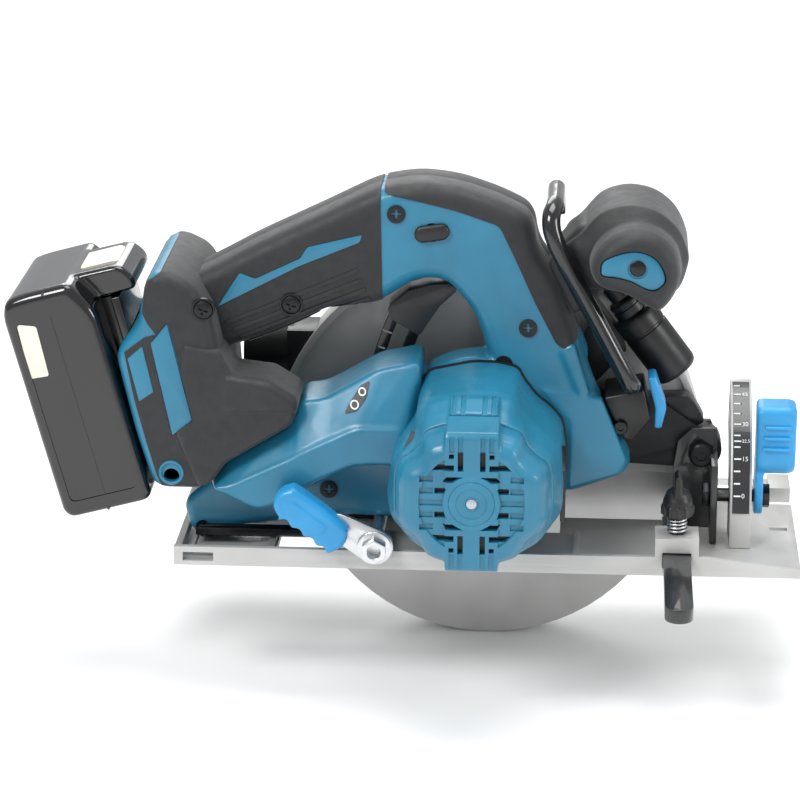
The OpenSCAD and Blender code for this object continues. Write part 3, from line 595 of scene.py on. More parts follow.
def shell_skin():
    """Both handle halves, the arm to the battery foot and the collar of the motor, as one skin."""
    shapes = [handle_half("skin", -1), handle_half("left", 1)]
    shapes.append(arm_loft("arm", 0.0, "shell_blue"))
    for region, grow in ((FRONT_TAB, 1.1), (FRONT_PLATE, 0.9)):
        shapes.append(pillow("plate", rounded(region, 1.5),
                             [(-64 - grow, 0.8), (-64 - grow * 0.5, 0.2), (-60, 0)],
                             "shell_blue"))
    shapes.append(pillow("foot", rounded(FOOT, 5), foot_levels(0), "shell_blue"))
    shapes.append(pillow("skirt", rounded(SKIRT, 5), [(-64, 3), (-63.2, 1.2), (-61.5, 0), (-46.1, 0)],
                         "shell_blue"))
    shapes.append(lathe("collar", [(38.2, -64), (39.4, -63.2), (40, -61), (40, -46.1)],
                        (MOTOR[0], 0, MOTOR[2]), (0, 1, 0), "shell_blue", count=96))
    return remesh(merge(shapes), passes=5)


def build_handle():
    skin = shell_skin()
    cuts = [rail_bar("c1", (-4.4, 1.5), (2, 120), 18.4, "shell_blue"),
            rail_bar("c2", (-8.8, -4), (2, 120), 23.4, "shell_blue")]
    cuts += [slab("c", circle(x, z, r, 32), y0, y1, "shell_blue") for x, z, r, y0, y1 in (
        (-125, 8.5, 3.1, -70, -40), (-136, 39, 3.5, -90, -4), (LOCK[0], LOCK[2], 3.1, -70, -30),
        (-23, 146, 4.2, -70, -20))]
    # parting line all the way round at the middle of the handle
    shape = rounded(HANDLE, 7, 5)
    seam_ring = pillow("seam", shape, [(MID_Y - 0.35, -3), (MID_Y + 0.35, -3)], "shell_blue")
    core = pillow("core", shape, [(MID_Y - 1, 0.9), (MID_Y + 1, 0.9)], "shell_blue")
    cuts.append(combine(seam_ring, [core], "DIFFERENCE"))
    combine(skin, cuts, "DIFFERENCE")
    skin.name = "handle_shells"
    as_piece(smooth(skin, 45), "head", "right_shell", "left_shell")

    grips = []
    for side, node in ((-1, "grip_right"), (1, "grip_left")):
        grip = overlay("grip_soft", side, 0.55, rounded(GRIP, 3), "grip_rubber")
        band = overlay("band_soft", side, 0.55, rounded(TOP_BAND, 2.5), "grip_rubber")
        far = MID_Y + side * 30
        near = MID_Y + side * 15.5
        window = slab("window", rounded(INLAY, 1.5), min(far, near), max(far, near), "grip_rubber")
        combine(grip, [window], "DIFFERENCE")
        ridges = [overlay("ridge", side, 1.15, ridge, "grip_rubber") for ridge in grip_ridges()]
        grips.append(as_piece(smooth(merge([grip, band] + ridges), 50), "head", node))
        grips[-1].name = "soft_" + node
    inlay = overlay("grip_blue_stripe", -1, 0.95, rounded(INLAY, 1.0), "shell_blue", edge=0.4)
    as_piece(inlay, "head", "grip_inlay")
    build_foot_cover()


def build_foot_cover():
    """Soft cover of the battery foot with its web to the arm, and the blue trim set into it."""
    grow = 0.5
    near = FOOT_NEAR - grow
    cover = pillow("cover", rounded(FOOT, 5), foot_levels(grow), "grip_rubber")
    combine(cover, [slab("mask", FOOT_SOFT, -95, 0, "grip_rubber")], "INTERSECT")
    web = pillow("web", rounded(WEB, 2), [(-85.6, 1.6), (-85.0, 0.6), (-83.4, 0), (-58, 0)], "grip_rubber")
    lip = pillow("lip", rounded([(-92, 84), (-80, 76.5), (-80, 70), (-112, 70), (-112, 86)], 2),
                 [(-88, 2.2), (-87, 0.8), (-85, 0), (-80, 0)], "grip_rubber")
    body = remesh(merge([web, lip]), VOXEL, 5)
    combine(body, [cover])
    cuts = [rail_bar("rail", (-4.4, 3), (-2, 120), 18.4, "grip_rubber"),
            rail_bar("rail", (-8.8, -4), (-2, 120), 23.4, "grip_rubber"),
            slab("behind", lean_outline([(-0.1, -30), (30, -30), (30, 130), (-0.1, 130)]), -90, 0,
                 "grip_rubber"),
            slab("hole", circle(-136, 40.7, 5.2, 40), -95, 0, "grip_rubber"),
            slab("stripe", rounded(inset(STRIPE, -0.5), 0.8), -90, near + 0.9, "grip_rubber"),
            slab("badge", rounded(inset(BADGE, -0.2), 0.8), -90, near + 0.5, "grip_rubber")]
    combine(body, cuts, "DIFFERENCE")
    body.name = "foot_cover"
    as_piece(smooth(body, 45), "head", "left_shell")
    trim = [bevel(slab("trim", rounded(shape, 0.6), near - out, near + 2.5, "shell_blue"), 0.5)
            for shape, out in ((STRIPE, 0.7), (BADGE, 0.0))]
    ring = lathe("eyelet", [(4.2, near + 3), (4.2, near - 0.2), (4.6, near - 0.6), (5.3, near - 0.6),
                            (5.6, near - 0.2), (5.6, near + 3)], (-136, 0, 40.7), (0, 1, 0),
                 "shell_blue", count=48)
    trim = merge(trim + [smooth(ring, 40)])
    trim.name = "foot_trim"
    as_piece(trim, "head")


def grip_ridges():
    """Four raised lines that follow the grip under the inlay."""
    start, end = Vector((-113, 103)), Vector((-55, 128))
    down = Vector((0.37, -0.93))
    lines = []
    for k in range(4):
        a, b = start + down * (3.4 * k) + Vector((2.0 * k, 0)), end + down * (4.6 * k)
        lines.append([tuple(a), tuple(b), tuple(b - down * 1.5), tuple(a - down * 1.5)])
    return lines


# --------------------------------------------------------- motor and its cap
DRUM = [(38, -16), (38.5, -1), (36.5, 13), (31.5, 19), (25, 24), (19, 32), (17, 36.5), (8, 38.6),
        (-3, 38.8),
        (-22, 34.5), (-26, 28), (-26.5, 20), (-36, 8), (-38.6, -7), (-37.5, -18), (-28, -30), (-12, -38.2),
        (0, -39), (12, -38.2), (28, -30)]
FACE = [(33, 0), (33, 8), (31, 14), (26.5, 16.6), (22.6, 20.5), (20.6, 26.6), (11.6, 29.8), (0, 31),
        (-11.6, 29.8), (-20.6, 26.6), (-22.6, 20.5), (-26.5, 16.6), (-31, 14), (-33, 8), (-33, 0),
        (-33, -8),
        (-30.6, -14), (-26, -16.4), (-22.2, -20.5), (-20.2, -26.6), (-11.6, -29.8), (0, -31), (11.6, -29.8),
        (20.2, -26.6), (22.2, -20.5), (26, -16.4), (30.6, -14), (33, -8)]


def polar(outline, count=180):
    """Radius of a star-shaped outline at evenly spaced directions."""
    pts = rounded(outline, 3)
    radii = []
    for k in range(count):
        t = 2 * math.pi * k / count
        ray = Vector((math.cos(t), math.sin(t)))
        best = 0.0
        for (ax, az), (bx, bz) in zip(pts, pts[1:] + pts[:1]):
            edge = Vector((bx - ax, bz - az))
            cross = ray.x * edge.y - ray.y * edge.x
            if abs(cross) < 1e-9:
                continue
            along = (ax * edge.y - az * edge.x) / cross
            share = (ax * ray.y - az * ray.x) / cross
            if along > 0 and -1e-6 <= share <= 1 + 1e-6:
                best = max(best, along)
        radii.append(best)
    return radii


def motor_ring(y, radii, scale):
    turn = 2 * math.pi / len(radii)
    return [(MOTOR[0] + r * scale * math.cos(k * turn), y, MOTOR[2] + r * scale * math.sin(k * turn))
            for k, r in enumerate(radii)]


def prism_x(name, outline, x0, x1, slot, material=None):
    """Outline in Y and Z, drawn out along X."""
    return loft(name, [[(x, y, z) for y, z in outline] for x in (x0, x1)], slot, material)


def build_motor():
    cx, cz = MOTOR[0], MOTOR[2]
    drum, face = polar(DRUM), polar(FACE)
    mix = [a * 0.45 + b * 0.55 for a, b in zip(drum, face)]
    body = loft("drum", [motor_ring(-46, drum, 0.9), motor_ring(-64.5, drum, 0.99),
                         motor_ring(-65.5, drum, 1.0),
                         motor_ring(-104, drum, 0.985), motor_ring(-110, drum, 0.96),
                         motor_ring(-118, mix, 1.0),
                         motor_ring(-124.9, face, 1.02)], "shell_blue")
    rail = prism_x("rail", [(-124.9, cz + 20), (-124.9, cz + 34.6), (-114, cz + 37.6), (-109.5, cz + 37.6),
                            (-107.5, cz + 36), (-107, cz + 20)], cx - 10, cx + 10, "shell_blue")
    body = remesh(merge([body, rail]), VOXEL, 3)
    grooves = []
    for sx in (-1, 1):
        for inner, outer in ((3.5, 5.6), (7.3, 9.2)):
            grooves.append(prism_x("groove", [(-126, cz + 33.6), (-126, cz + 40), (-108, cz + 42),
                                              (-110, cz + 36.9),
                                              (-114, cz + 36.9)], cx + sx * inner, cx + sx * outer,
                                   "shell_blue"))
    combine(body, grooves, "DIFFERENCE")
    seal = loft("seal", [motor_ring(-64.2, drum, 1.02), motor_ring(-65.6, drum, 1.02)], "black_plastic")
    rating = loft("plate", [[(cx + r, y, cz + z) for y, z in ((-100, -22), (-103, 2), (-86, 8), (-76, -8))]
                            for r in (36.5, 38.7)], "black_plastic")
    body.name = "motor_drum"
    as_piece(smooth(body, 45), "head", "motor_housing")
    as_piece(seal, "head").name = "motor_seal"
    rating["slot_name"] = "shell_blue"
    as_piece(bevel(rating, 0.3), "head").name = "rating_plate"
    build_motor_cap(cx, cz, face)


def face_slots():
    """Air slots of the cap as outlines about its middle, for the upper right quarter."""
    return [[(3.5, 14.3), (5.8, 14.3), (5.8, 22.6), (3.5, 22.6)],
            [(7.4, 19.8), (9.5, 19.8), (9.5, 21.8), (7.4, 21.8)],
            [(7.4, 14.4), (16.6, 14.4), (14.2, 17.0), (7.4, 17.0)],
            [(3.6, 11.8), (10.6, 11.8), (12.2, 9.2), (7.8, 9.2)],
            [(10.6, 6.6), (15.6, 6.6), (15.6, 4.0), (11.6, 4.0)]]


def build_motor_cap(cx, cz, face):
    base, axis = (cx, 0, cz), (0, -1, 0)
    shell = loft("shell", [motor_ring(y, face, k) for y, k in (
        (-125.2, 1.0), (-129, 1.0), (-133, 0.975), (-136.5, 0.93), (-139.2, 0.865), (-140.6, 0.79),
        (-141, 0.74))],
        "shell_blue")
    column = prism_x("column", [(-125.4, cz - 31), (-131, cz - 31.6), (-139.5, cz - 30.6),
                                (-141.2, cz - 28.6),
                                (-141.2, cz + 28.6), (-139.5, cz + 31), (-125.4, cz + 34)], cx - 11.2,
                     cx + 11.2,
                     "shell_blue")
    body = remesh(merge([shell, column]), VOXEL * 0.8, 3)
    dish = lathe("dish", [(22.2, 140.0), (22.7, 144)], base, axis, "shell_blue", count=96)
    keep = slab("keep", [(cx - 11.2, cz - 40), (cx + 11.2, cz - 40), (cx + 11.2, cz + 40),
                         (cx - 11.2, cz + 40)],
                -145, -130, "shell_blue")
    combine(dish, [keep], "DIFFERENCE")
    cuts = [dish]
    shafts = []
    for sx in (-1, 1):
        for sz in (-1, 1):
            for outline in face_slots():
                spot = [(cx + sx * x, cz + sz * z) for x, z in outline]
                cuts.append(slab("slot", spot, -145, -136.5, "shell_blue"))
                shafts.append(slab("shaft", spot, -137.2, -136.4, "black_plastic"))
            for inner, outer in ((3.6, 5.7), (7.3, 9.4)):
                low, high = sorted((cz + sz * 22.6, cz + sz * 36))
                cuts.append(block("flute", (min(cx + sx * inner, cx + sx * outer), -145, low),
                                  (max(cx + sx * inner, cx + sx * outer), -140.6, high), "shell_blue"))
        for k in (-2, -1, 0, 1, 2):
            start = 16.2 if k else 12.4
            x0, x1 = sorted((cx + sx * start, cx + sx * 21.9))
            cuts.append(block("flute", (x0, -145, cz + 5.3 * k - 1.35), (x1, -139.1, cz + 5.3 * k + 1.35),
                              "shell_blue"))
    combine(body, cuts, "DIFFERENCE")
    hub = lathe("hub", [(12.2, 138), (12.2, 140.9), (11.9, 141.3), (9.9, 141.4), (9.7, 141.2), (9.5, 141.4),
                        (6.7, 141.5), (6.5, 141.1), (6.2, 140.9), (3.0, 140.9), (2.9, 141.5), (2.7, 141.7),
                        (2.4, 141.3), (2.2, 141.1)], base, axis, "shell_blue", count=96)
    cap = merge([smooth(body, 40), smooth(hub, 30)])
    cap.name = "motor_cap"
    as_piece(cap, "head", "motor_cover")
    dark = merge(shafts)
    dark.name = "motor_vents"
    as_piece(dark, "head")
    pin = lathe("cap_pin", [(2.2, 138), (2.2, 141.4), (1.8, 141.6)], base, axis, "shell_blue",
                "label_silver", 32)
    as_piece(smooth(pin), "head")


# ------------------------------------------------------------ front and hook
KNOB_BACK = [(34, 138), (41, 146), (49, 155), (58, 158.6), (66, 158.8), (75, 156), (83, 149), (87.4, 139),
             (87.5, 133), (84, 123), (76, 116), (73, 115.5), (67, 117.5), (58.5, 120.5), (50, 121.5),
             (43, 123)]
KNOB_FACE = [(45, 137), (48, 145), (54, 151), (61, 154), (68, 154), (76, 151), (82, 145), (84.5, 137),
             (84.5, 131), (81, 122.5), (75.5, 117), (70, 119), (64, 122.5), (58, 125), (52, 126.5),
             (47, 130)]
KIDNEY = [(49.7, 136.4), (51, 141), (58, 144.5), (66, 145.5), (73, 142.6), (77, 137), (77.7, 131.7),
          (73.6, 128),
          (69, 128.4), (63, 131.4), (57, 133), (51, 133.8)]


def build_front():
    back, face = curve_through(KNOB_BACK, 6), curve_through(KNOB_FACE, 6)
    rings = []
    for y, amount in ((-16, 6), (-17, 3), (-20, 0.8), (-26, 0), (-56, 0), (-63, 0)):
        rings.append([(x, y, z) for x, z in inset(back, amount)])
    for y, amount in ((-69, 0.2), (-76, 0.3), (-81, 0.8), (-84.5, 2.0), (-86.5, 3.8), (-87.6, 6)):
        rings.append([(x, y, z) for x, z in inset(face, amount)])
    knob = loft("knob", rings, "grip_rubber")
    neck = pillow("neck", rounded([(26, 131), (33, 118), (38, 107), (52, 118), (52, 147), (42, 150),
                                   (34, 142)], 4),
                  [(-60, 2), (-58.5, 0.5), (-56, 0), (-36, 0), (-33.5, 0.5), (-32, 2)], "grip_rubber")
    body = remesh(merge([knob, neck]), VOXEL, 6)
    pocket = slab("pocket", curve_through(KIDNEY, 5), -90, -85.4, "grip_rubber")
    combine(body, [pocket], "DIFFERENCE")
    body.name = "front_knob"
    as_piece(smooth(body, 50), "head", "front_grip")
    kidney = curve_through(KIDNEY, 5)
    plate = pillow("knob_badge", kidney, [(-86.9, 1.3), (-86.6, 0.7), (-85.6, 0.35), (-84.6, 0.35)],
                   "shell_blue")
    hole = slab("hole", circle(65.7, 137.6, 4.4, 40), -90, -86.1, "shell_blue")
    combine(plate, [hole], "DIFFERENCE")
    screw = lathe("screw", [(3.5, 85.2), (3.5, 86.3), (3.0, 86.6)], (65.7, 0, 137.6), (0, -1, 0),
                  "shell_blue",
                  "dark_steel", 32)
    as_piece(smooth(plate, 40), "head", "grip_insert")
    as_piece(smooth(screw, 40), "head")


def build_hook():
    path = soften_path([(64.5, -62.5, 78), (64.5, -67, 79.6), (62.5, -70, 83.5), (50, -70, 107),
                        (36, -70, 133),
                        (29.5, -70, 147), (28.4, -67.5, 154.5), (29.6, -61, 157.6), (30, -54, 158),
                        (30, -44, 158),
                        (30, -34, 158), (30, -29, 157.4), (30, -26.6, 153), (30, -26.4, 146)], 6)
    rod = tube("hook_rod", path, 4.0, "hook_black", count=28)
    as_piece(smooth(rod, 60), "hook", "hook")


def build_lamp():
    turn = math.radians(143)
    axis = (math.sin(turn), 0, math.cos(turn))
    spot = (60, -30, 108)
    body = lathe("lamp_body", [(4.9, -11.8), (5, -9), (5, -1), (6.6, -0.4), (7.4, 0.6), (7.4, 2.2),
                               (6.8, 2.6),
                               (6.8, 3.4), (7.4, 3.8), (7.4, 7.2), (9.6, 8.2), (10.3, 9.2), (10.4, 11),
                               (10.4, 16),
                               (9.9, 16.4), (9.9, 17.2), (10.4, 17.6), (10.4, 38.6), (9.8, 40.8),
                               (8.8, 41.6),
                               (7.6, 41.6), (7.2, 38), (5.2, 36.2)], spot, axis, "black_plastic", count=64)
    as_piece(smooth(body, 40), "head", "lamp")
    lens = lathe("lamp_lens", [(7.1, 37.0), (7.1, 39.2), (5.2, 40.4), (2.5, 41), (0.4, 41.1)], spot, axis,
                 "black_plastic", "label_silver", 48)
    as_piece(smooth(lens, 60), "head")


# ---------------------------------------------------------------- the battery
BATTERY_SIDE = [(0.5, 0.5), (38, 0.5), (41, 4), (41, 96), (38, 103), (30, 104), (9, 104), (6, 100),
                (0.5, 90)]


def build_battery():
    side = rounded(lean_outline(BATTERY_SIDE), 5, 5)
    near, far = FOOT_NEAR, FOOT_FAR
    body = pillow("battery", side, [(near, 3.2), (near + 0.6, 1.6), (near + 2, 0.4), (near + 4, 0),
                                    (far - 4, 0),
                                    (far - 2, 0.4), (far - 0.6, 1.6), (far, 3.2)], "battery_black")
    nose = pillow("nose", rounded(lean_outline([(1, 91), (-16.6, 91.4), (-16.6, 97), (-12, 103.4),
                                                (12, 103.8),
                                                (12, 91)]), 3),
                  [(MID_Y - 22, 1), (MID_Y - 20.5, 0), (MID_Y + 20.5, 0), (MID_Y + 22, 1)], "battery_black")
    panel = rounded(lean_outline([(5, 8), (36, 8), (36, 92), (9, 92), (5, 84)]), 3)
    body = remesh(merge([body, nose]), VOXEL, 4)
    cuts = [slab("dish", panel, near - 1, near + 0.7, "battery_black"),
            slab("dish", panel, far - 0.7, far + 1, "battery_black")]
    for k in range(5):
        u = 22 + 5 * k
        cuts.append(rail_bar("grip", (40.2, 42), (u, u + 2), 22, "battery_black"))
    combine(body, cuts, "DIFFERENCE")
    # rails that slide in the foot, and the ribs of the shell halves
    rails = [rail_bar("neck", (-4.2, 1.2), (4, 90), 18, "battery_black"),
             rail_bar("head", (-8.4, -4.4), (4, 90), 23, "battery_black")]
    seam = [slab("lip", rounded(lean_outline([(20, 0.8), (21.2, 0.8), (21.2, 103), (20, 103)]), 0.3),
                 y, y + 1, "battery_black") for y in (near + 0.45, far - 1.45)]
    pack = merge([smooth(body, 45)] + [bevel(r, 0.4) for r in rails + seam])
    pack.name = "battery_case"
    as_piece(pack, "battery", "battery_body")

    button = pillow("battery_latch", rounded(lean_outline([(-12.6, 97), (-11, 102.6), (-8.6, 104.6),
                                                           (6.6, 104.6),
                                                           (7.2, 103.4), (7.2, 91), (-12.6, 91)]), 1.6),
                    [(MID_Y - 12.3, 0.8), (MID_Y - 11.6, 0.2), (MID_Y - 10.5, 0), (MID_Y + 10.5, 0),
                     (MID_Y + 11.6, 0.2), (MID_Y + 12.3, 0.8)], "cream")
    as_piece(smooth(button, 40), "release", "battery_button")
    label = lean_outline([(35.4, 92), (27.4, 89.2), (28.4, 66.4), (36.6, 67)])
    plate = slab("battery_label", rounded(label, 1), near + 0.2, near + 0.65, "cream")
    as_piece(bevel(plate, 0.12, 2), "battery")


# ------------------------------------------------------- base, scale and clamps
def text_mesh(name, body, size, material, thick=0.12):
    """Printed number as a thin mesh, in millimetres, lying in X and Y, set from its left edge."""
    curve = bpy.data.curves.new(name, "FONT")
    curve.body = body
    curve.size = size
    curve.extrude = thick
    curve.align_x = "LEFT"
    curve.align_y = "CENTER"
    obj = bpy.data.objects.new(name, curve)
    bpy.context.scene.collection.objects.link(obj)
    mesh = bpy.data.meshes.new_from_object(obj.evaluated_get(bpy.context.evaluated_depsgraph_get()))
    bpy.data.objects.remove(obj, do_unlink=True)
    out = bpy.data.objects.new(name, mesh)
    mesh.materials.clear()
    mesh.materials.append(MATERIALS[material])
    bpy.context.scene.collection.objects.link(out)
    return out


def build_scale():
    """White graduation of the bevel quadrant: marks each five degrees and at 22.5, and main numbers."""
    radius, zero = 63.35, 17.0
    marks = []
    for angle in (0, 5, 10, 15, 20, 22.5, 25, 30, 35, 40, 45, 50):
        major = angle in (0, 15, 22.5, 30, 45)
        mark = block("mark", (110.5, -radius, BEVEL[2] - 0.33), (113.6 if major else 113.3, -radius + 0.5,
                                                                 BEVEL[2] + 0.33), "black_steel",
                     "white_print")
        turn = Matrix.Rotation(-math.radians(zero + angle), 4, "X")
        spot = Matrix.Translation(Vector((0, 0, BEVEL[2])) * MM)
        mark.data.transform(spot @ turn @ spot.inverted())
        marks.append(mark)
        if major:
            label = text_mesh("number", "%g" % angle, 2.9 if angle != 22.5 else 2.1, "white_print")
            stand = (Matrix.Translation(Vector((113.9, -radius + 0.12, BEVEL[2])))
                     @ Matrix.Rotation(math.radians(90), 4, "X"))
            label.data.transform(spot @ turn @ spot.inverted() @ Matrix.Scale(MM, 4) @ stand)
            marks.append(label)
    scale = merge(marks)
    scale.name = "bevel_marks"
    scale["slot_name"] = "black_steel"
    as_piece(scale, "base")


def build_bevel_lever():
    """Clamp lever: moulded grip with three finger ribs, and the arm at the bolt made in the same blue as the grip
    in place of the steel plate.
    """
    grip = [(-60.5, 40), (-61.5, 66), (-59, 68.4), (-46, 68.4), (-43.6, 66), (-43.6, 42), (-46, 37),
            (-55, 35.5)]
    levels = ((119.8, 1.2), (120.6, 0.3), (122, 0), (134, 0), (136.4, 0.7), (137.2, 2.0))
    shape = rounded(grip, 3)
    body = loft("lever", [[(x, y, z) for y, z in inset(shape, amount)] for x, amount in levels],
                "lever_blue")
    arm = prism_x("arm", rounded([(-55.5, 19), (-50, 14.6), (-42.5, 17), (-40, 24), (-43.8, 44),
                                  (-58, 44)], 3),
                  119.8, 123.6, "lever_blue")
    body = remesh(merge([body, arm]), VOXEL * 0.8, 4)
    ribs = [block("rib", (122.5 + 0.4 * k, -62.6, 49.5 + 5 * k - 0.7),
                  (134 + 0.4 * k, -60.4, 49.5 + 5 * k + 0.7),
                  "lever_blue") for k in range(3)]
    hole = prism_x("hole", circle(LEVER[1], LEVER[2], 3.1, 40), 119, 125, "lever_blue")
    combine(body, [hole], "DIFFERENCE")
    lever = merge([smooth(body, 45)] + [bevel(r, 0.45) for r in ribs])
    lever.name = "bevel_clamp_lever"
    as_piece(lever, "bevel_clamp", "bevel_lever")


def build_depth_lever():
    """Moulded grip, with four scallops along its lower edge, for the zinc plated arm of the depth lever."""
    outer = [(-59.5, 14), (-57.5, 19), (-59.5, 24.5), (-78, 39), (-83, 40), (-88, 37), (-89.6, 31.5),
             (-87.2, 26.6)]
    scallops = []
    start, end = Vector((-87.2, 26.6)), Vector((-65.5, 10.4))
    out = Vector((-0.6, -0.8))
    for k in range(4):
        a, b = start.lerp(end, (k + 0.08) / 4), start.lerp(end, (k + 0.92) / 4)
        scallops += [tuple(a + out * 0.2), tuple(a.lerp(b, 0.5) - out * 1.1), tuple(b + out * 0.2)]
    shape = curve_through(outer + scallops, 5)
    levels = [(-91.2, 1.2), (-92, 0.3), (-93.5, 0), (-99.5, 0), (-101.2, 0.7), (-102, 2.0)]
    grip = pillow("grip", shape, levels, "lever_blue")
    pads = [slab("pad", rounded([(-84.5, 31), (-81.5, 35), (-66.5, 23.5), (-69, 20)], 1.5), -102.5,
                 -100, "lever_blue")]
    grip = remesh(merge([grip] + pads), VOXEL * 0.7, 4)
    grip.name = "depth_clamp_grip"
    as_piece(smooth(grip, 45), "depth_clamp", "depth_lever_grip")


def build_fence_screw():
    cx, cy = KNOB[0], KNOB[1]
    stem = lathe("stem", [(2.9, 10.8), (2.9, 25), (6.2, 25.2), (6.9, 26), (6.9, 28.5), (6.4, 32.5), (5, 36),
                          (3, 37.5), (1, 38)], (cx, cy, 0), (0, 0, 1), "black_plastic", count=48)
    wing = loft("wing", [[(cx + x, cy + y, z) for x, z in ((-w, 27), (w, 27), (w * 0.75, 43.4), (0, 44.8),
                                                         (-w * 0.75, 43.4))]
                         for y, w in ((-5.6, 1.4), (-4.5, 2.2), (4.5, 2.2), (5.6, 1.4))], "black_plastic")
    flutes = []
    for k in range(12):
        t = 2 * math.pi * k / 12
        flutes.append(tube("flute", [(cx + 6.6 * math.cos(t), cy + 6.6 * math.sin(t), z)
                                     for z in (25.6, 30)], 0.8,
                           "black_plastic", count=10))
    knob = remesh(merge([stem, wing] + flutes), VOXEL * 0.6, 3)
    knob.name = "fence_wing_screw"
    as_piece(smooth(knob, 45), "fence_knob", "fence_screw")
    turns, low, high = 4.2, 17.6, 24.4
    path = []
    for k in range(int(turns * 24) + 1):
        t = k / 24
        path.append((cx + 3.9 * math.cos(2 * math.pi * t), cy + 3.9 * math.sin(2 * math.pi * t),
                     low + (high - low) * t / turns))
    coil = tube("fence_coil", path, 0.55, "bright_steel", count=10)
    as_piece(smooth(coil, 60), "base", "fence_spring")


def build_front_links():
    """Dark pivot arm of the gear housing, bolt heads, and the ledge along the upper case."""
    arm = slab("arm", rounded([(70, 62), (90, 63), (93, 60), (96, 55), (98, 51), (90, 47), (72, 46)], 2),
               -29.5, -19, "gear_cast")
    arm = bevel(arm, 1.0, 3)
    arm.name = "pivot_arm_cover"
    as_piece(arm, "head")
    ledge = loft("ledge", [[(98.9 * math.cos(t) * k, y, BLADE[2] + 98.9 * math.sin(t) * k)
                            for t in (math.radians(14 + 152 * i / 60) for i in range(61))]
                           + [(96 * math.cos(t), y, BLADE[2] + 96 * math.sin(t))
                              for t in (math.radians(166 - 152 * i / 60) for i in range(61))]
                           for y, k in ((-15.1, 0.992), (-14.6, 1.0), (-12.2, 1.0), (-11.8, 0.992))],
                 "cast_alu")
    ledge = smooth(ledge, 35)
    ledge.name = "case_rim_bead"
    as_piece(ledge, "head")
    bolts = []
    for x, y, z, r in ((PIVOT[0], -40.6, PIVOT[2], 5.4), (60, -60.6, 58, 3.2)):
        bolts.append(lathe("bolt", [(r, y + 1.5), (r, y - 0.6), (r * 0.85, y - 1.3), (r * 0.45, y - 1.4),
                                    (r * 0.42, y - 0.5)], (x, 0, z), (0, 1, 0), "dark_steel", count=40))
    bolts = smooth(merge(bolts), 35)
    bolts.name = "front_bolt_heads"
    as_piece(bolts, "head")


def on_arm(name, region, grow, slot):
    """Thin patch that follows the arm inside a region."""
    return combine(arm_loft(name, grow, slot), [slab("mask", region, -95, -70, slot)], "INTERSECT")


def build_icon_panel():
    """Small dark panel with two plain outline marks on the arm."""
    region = rounded([(-59, 71), (-53.5, 80), (-49.2, 82.4), (-50.6, 75.5), (-54.6, 70.2), (-60, 68.6)], 1)
    panel = on_arm("charge_panel", region, 0.3, "black_plastic")
    as_piece(smooth(panel, 40), "head")
    marks = []
    for x, z, r in ((-52.4, 78, 1.7), (-55.6, 72.6, 1.9)):
        ring = on_arm("mark", circle(x, z, r, 24), 0.42, "black_plastic")
        hole = slab("hole", circle(x, z, r - 0.5, 24), -95, -70, "black_plastic")
        marks.append(combine(ring, [hole], "DIFFERENCE"))
    marks = merge(marks)
    marks.name = "charge_marks"
    marks.data.materials.clear()
    marks.data.materials.append(MATERIALS["white_print"])
    marks["slot_name"] = "black_plastic"
    as_piece(marks, "head")


def build_cover_screws():
    """Pan heads with a cross recess where the soft covers are screwed down."""
    heads = []
    for x, y, z in ((-120.5, -84.2, 115.4), (-84.3, -65.4, 112.8)):
        head = lathe("head", [(5.0, y + 1.6), (5.0, y - 0.15), (4.3, y - 0.2), (4.1, y + 0.3),
                              (3.9, y - 0.3),
                              (2.8, y - 0.8), (1.2, y - 0.95)], (x, 0, z), (0, 1, 0), "dark_steel",
                     count=40)
        cross = [block("cross", (x - w, y - 2, z - h), (x + w, y + 0.2, z + h), "dark_steel",
                       turn=Matrix.Rotation(math.radians(20), 4, "Y"), centre=(x, y, z))
                 for w, h in ((2.2, 0.5), (0.5, 2.2))]
        heads.append(smooth(combine(head, cross, "DIFFERENCE"), 35))
    heads = merge(heads)
    heads.name = "cover_screws"
    as_piece(heads, "head")


def build_guide_marks():
    """White depth marks on the dark guide seen through the hand opening."""
    marks = []
    radius, first, step = 150.5, 156.5, 3.0
    for k in range(9):
        t = math.radians(first + step * k)
        spot = Vector((PIVOT[0] + radius * math.cos(t), 0, PIVOT[2] + radius * math.sin(t)))
        long = 2.2 if k % 2 else 1.5
        mark = block("mark", (spot.x - long, -33.25, spot.z - 0.3), (spot.x + long, -32.6, spot.z + 0.3),
                     "black_steel", "white_print")
        turn = Matrix.Rotation(-t, 4, "Y")
        place = Matrix.Translation(Vector((spot.x, 0, spot.z)) * MM)
        mark.data.transform(place @ turn @ place.inverted())
        marks.append(mark)
    marks = merge(marks)
    marks.name = "depth_marks"
    marks["slot_name"] = "black_steel"
    as_piece(marks, "tilt_frame")


# Nodes that keep their CAD form, with the width of their rounded edges.
EDGE_WIDTHS = {
    "base_plate": 0.7, "bevel_quadrant": 0.5, "front_bracket": 0.5, "rear_bracket": 0.5,
    "depth_guide": 0.4, "blade_case": 0.8, "dust_nozzle": 0.6, "gear_housing": 0.8,
    "gear_cover": 0.8, "lock_bracket": 1.2, "lamp_bracket": 0.8, "shaft_lock": 0.8,
    "guard_lever": 0.8, "lower_guard": 0.5, "rip_fence": 0.6, "trigger": 1.4,
    "lock_off": 1.0, "hex_wrench": 0.3, "depth_lever": 0.4, "depth_nut": 0.3,
    "bevel_bolt": 0.3, "outer_flange": 0.4, "blade_bolt": 0.4,
}


def build_small_parts():
    """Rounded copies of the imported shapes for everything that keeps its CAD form."""
    bodies = RECORD["behaviour"]["bodies"]
    body_of = {node: name for name, members in bodies.items() for node in members}
    for node, width in EDGE_WIDTHS.items():
        as_piece(finish_cad(node, width), body_of[node], node)


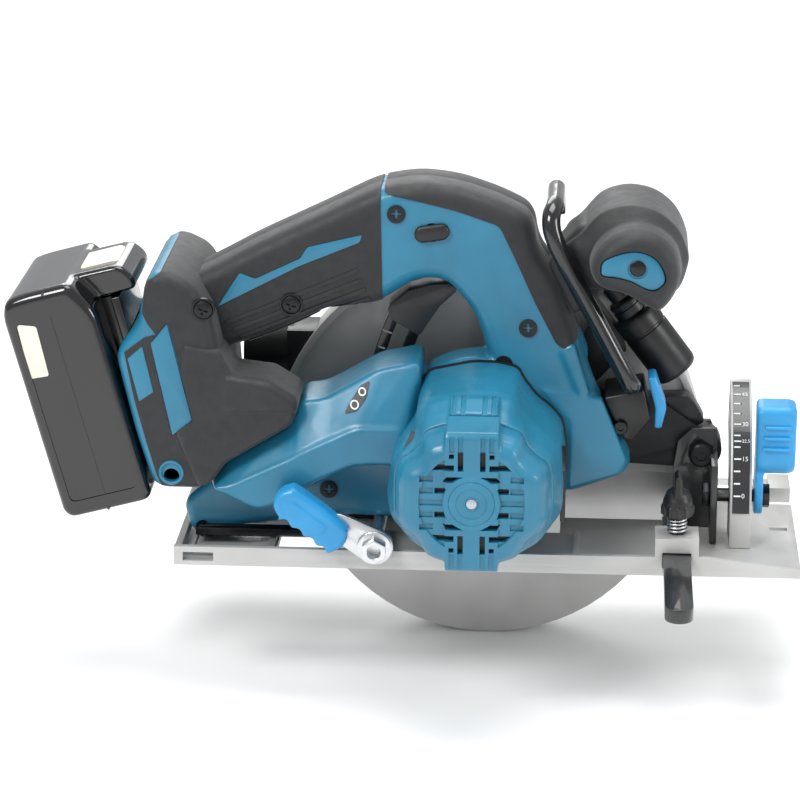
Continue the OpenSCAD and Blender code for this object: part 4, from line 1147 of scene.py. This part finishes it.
# ------------------------------------------------------------------- stage
def build_stage():
    low = cad_box[0][2]
    bm = bmesh.new()
    bmesh.ops.create_grid(bm, x_segments=2, y_segments=2, size=4000)
    floor = link_mesh("floor", bm, "cream")
    floor.location.z = low - 0.0002
    s = Shader("paper")
    s.link(s.ramp(s.noise(1.2, 3), (0.86, 0.86, 0.86), (0.90, 0.90, 0.90)), s.bsdf.inputs["Base Color"])
    s.link(s.bump(s.noise(600, 4), 0.08, 0.0001), s.bsdf.inputs["Normal"])
    s.bsdf.inputs["Roughness"].default_value = 0.8
    floor.data.materials.clear()
    floor.data.materials.append(s.mat)
    world = bpy.data.worlds.new("studio")
    world.use_nodes = True
    world.node_tree.nodes["Background"].inputs["Color"].default_value = (0.97, 0.98, 1.0, 1)
    world.node_tree.nodes["Background"].inputs["Strength"].default_value = 0.62
    bpy.context.scene.view_settings.view_transform = "Standard"
    bpy.context.scene.world = world
    for name, spot, size, power in (("key", (-0.8, -1.1, 1.3), 0.6, 20), ("top", (0.1, 0.1, 1.5), 1.0, 17),
                                    ("side", (1.4, -0.6, 0.6), 0.5, 7), ("back", (-0.3, 1.5, 1.0), 0.9, 8)):
        data = bpy.data.lights.new(name, "AREA")
        data.energy = power
        data.size = size
        lamp = bpy.data.objects.new(name, data)
        lamp.location = spot
        aim = Vector((0, -0.04, 0.06)) - Vector(spot)
        lamp.rotation_euler = aim.to_track_quat("-Z", "Y").to_euler()
        bpy.context.scene.collection.objects.link(lamp)


def build_camera():
    data = bpy.data.cameras.new("camera")
    data.sensor_width = 36
    data.lens = 145.6
    data.clip_start = 0.05
    cam = bpy.data.objects.new("camera", data)
    cam.location = (0.05035, -1.41297, 0.50896)
    cam.rotation_euler = (math.radians(72), 0, math.radians(3.7))
    bpy.context.scene.collection.objects.link(cam)
    bpy.context.scene.camera = cam


build_handle()
build_motor()
build_front()
build_hook()
build_lamp()
build_battery()
build_scale()
build_bevel_lever()
build_depth_lever()
build_fence_screw()
build_small_parts()
build_front_links()
build_icon_panel()
build_cover_screws()
build_guide_marks()
build_stage()
build_camera()
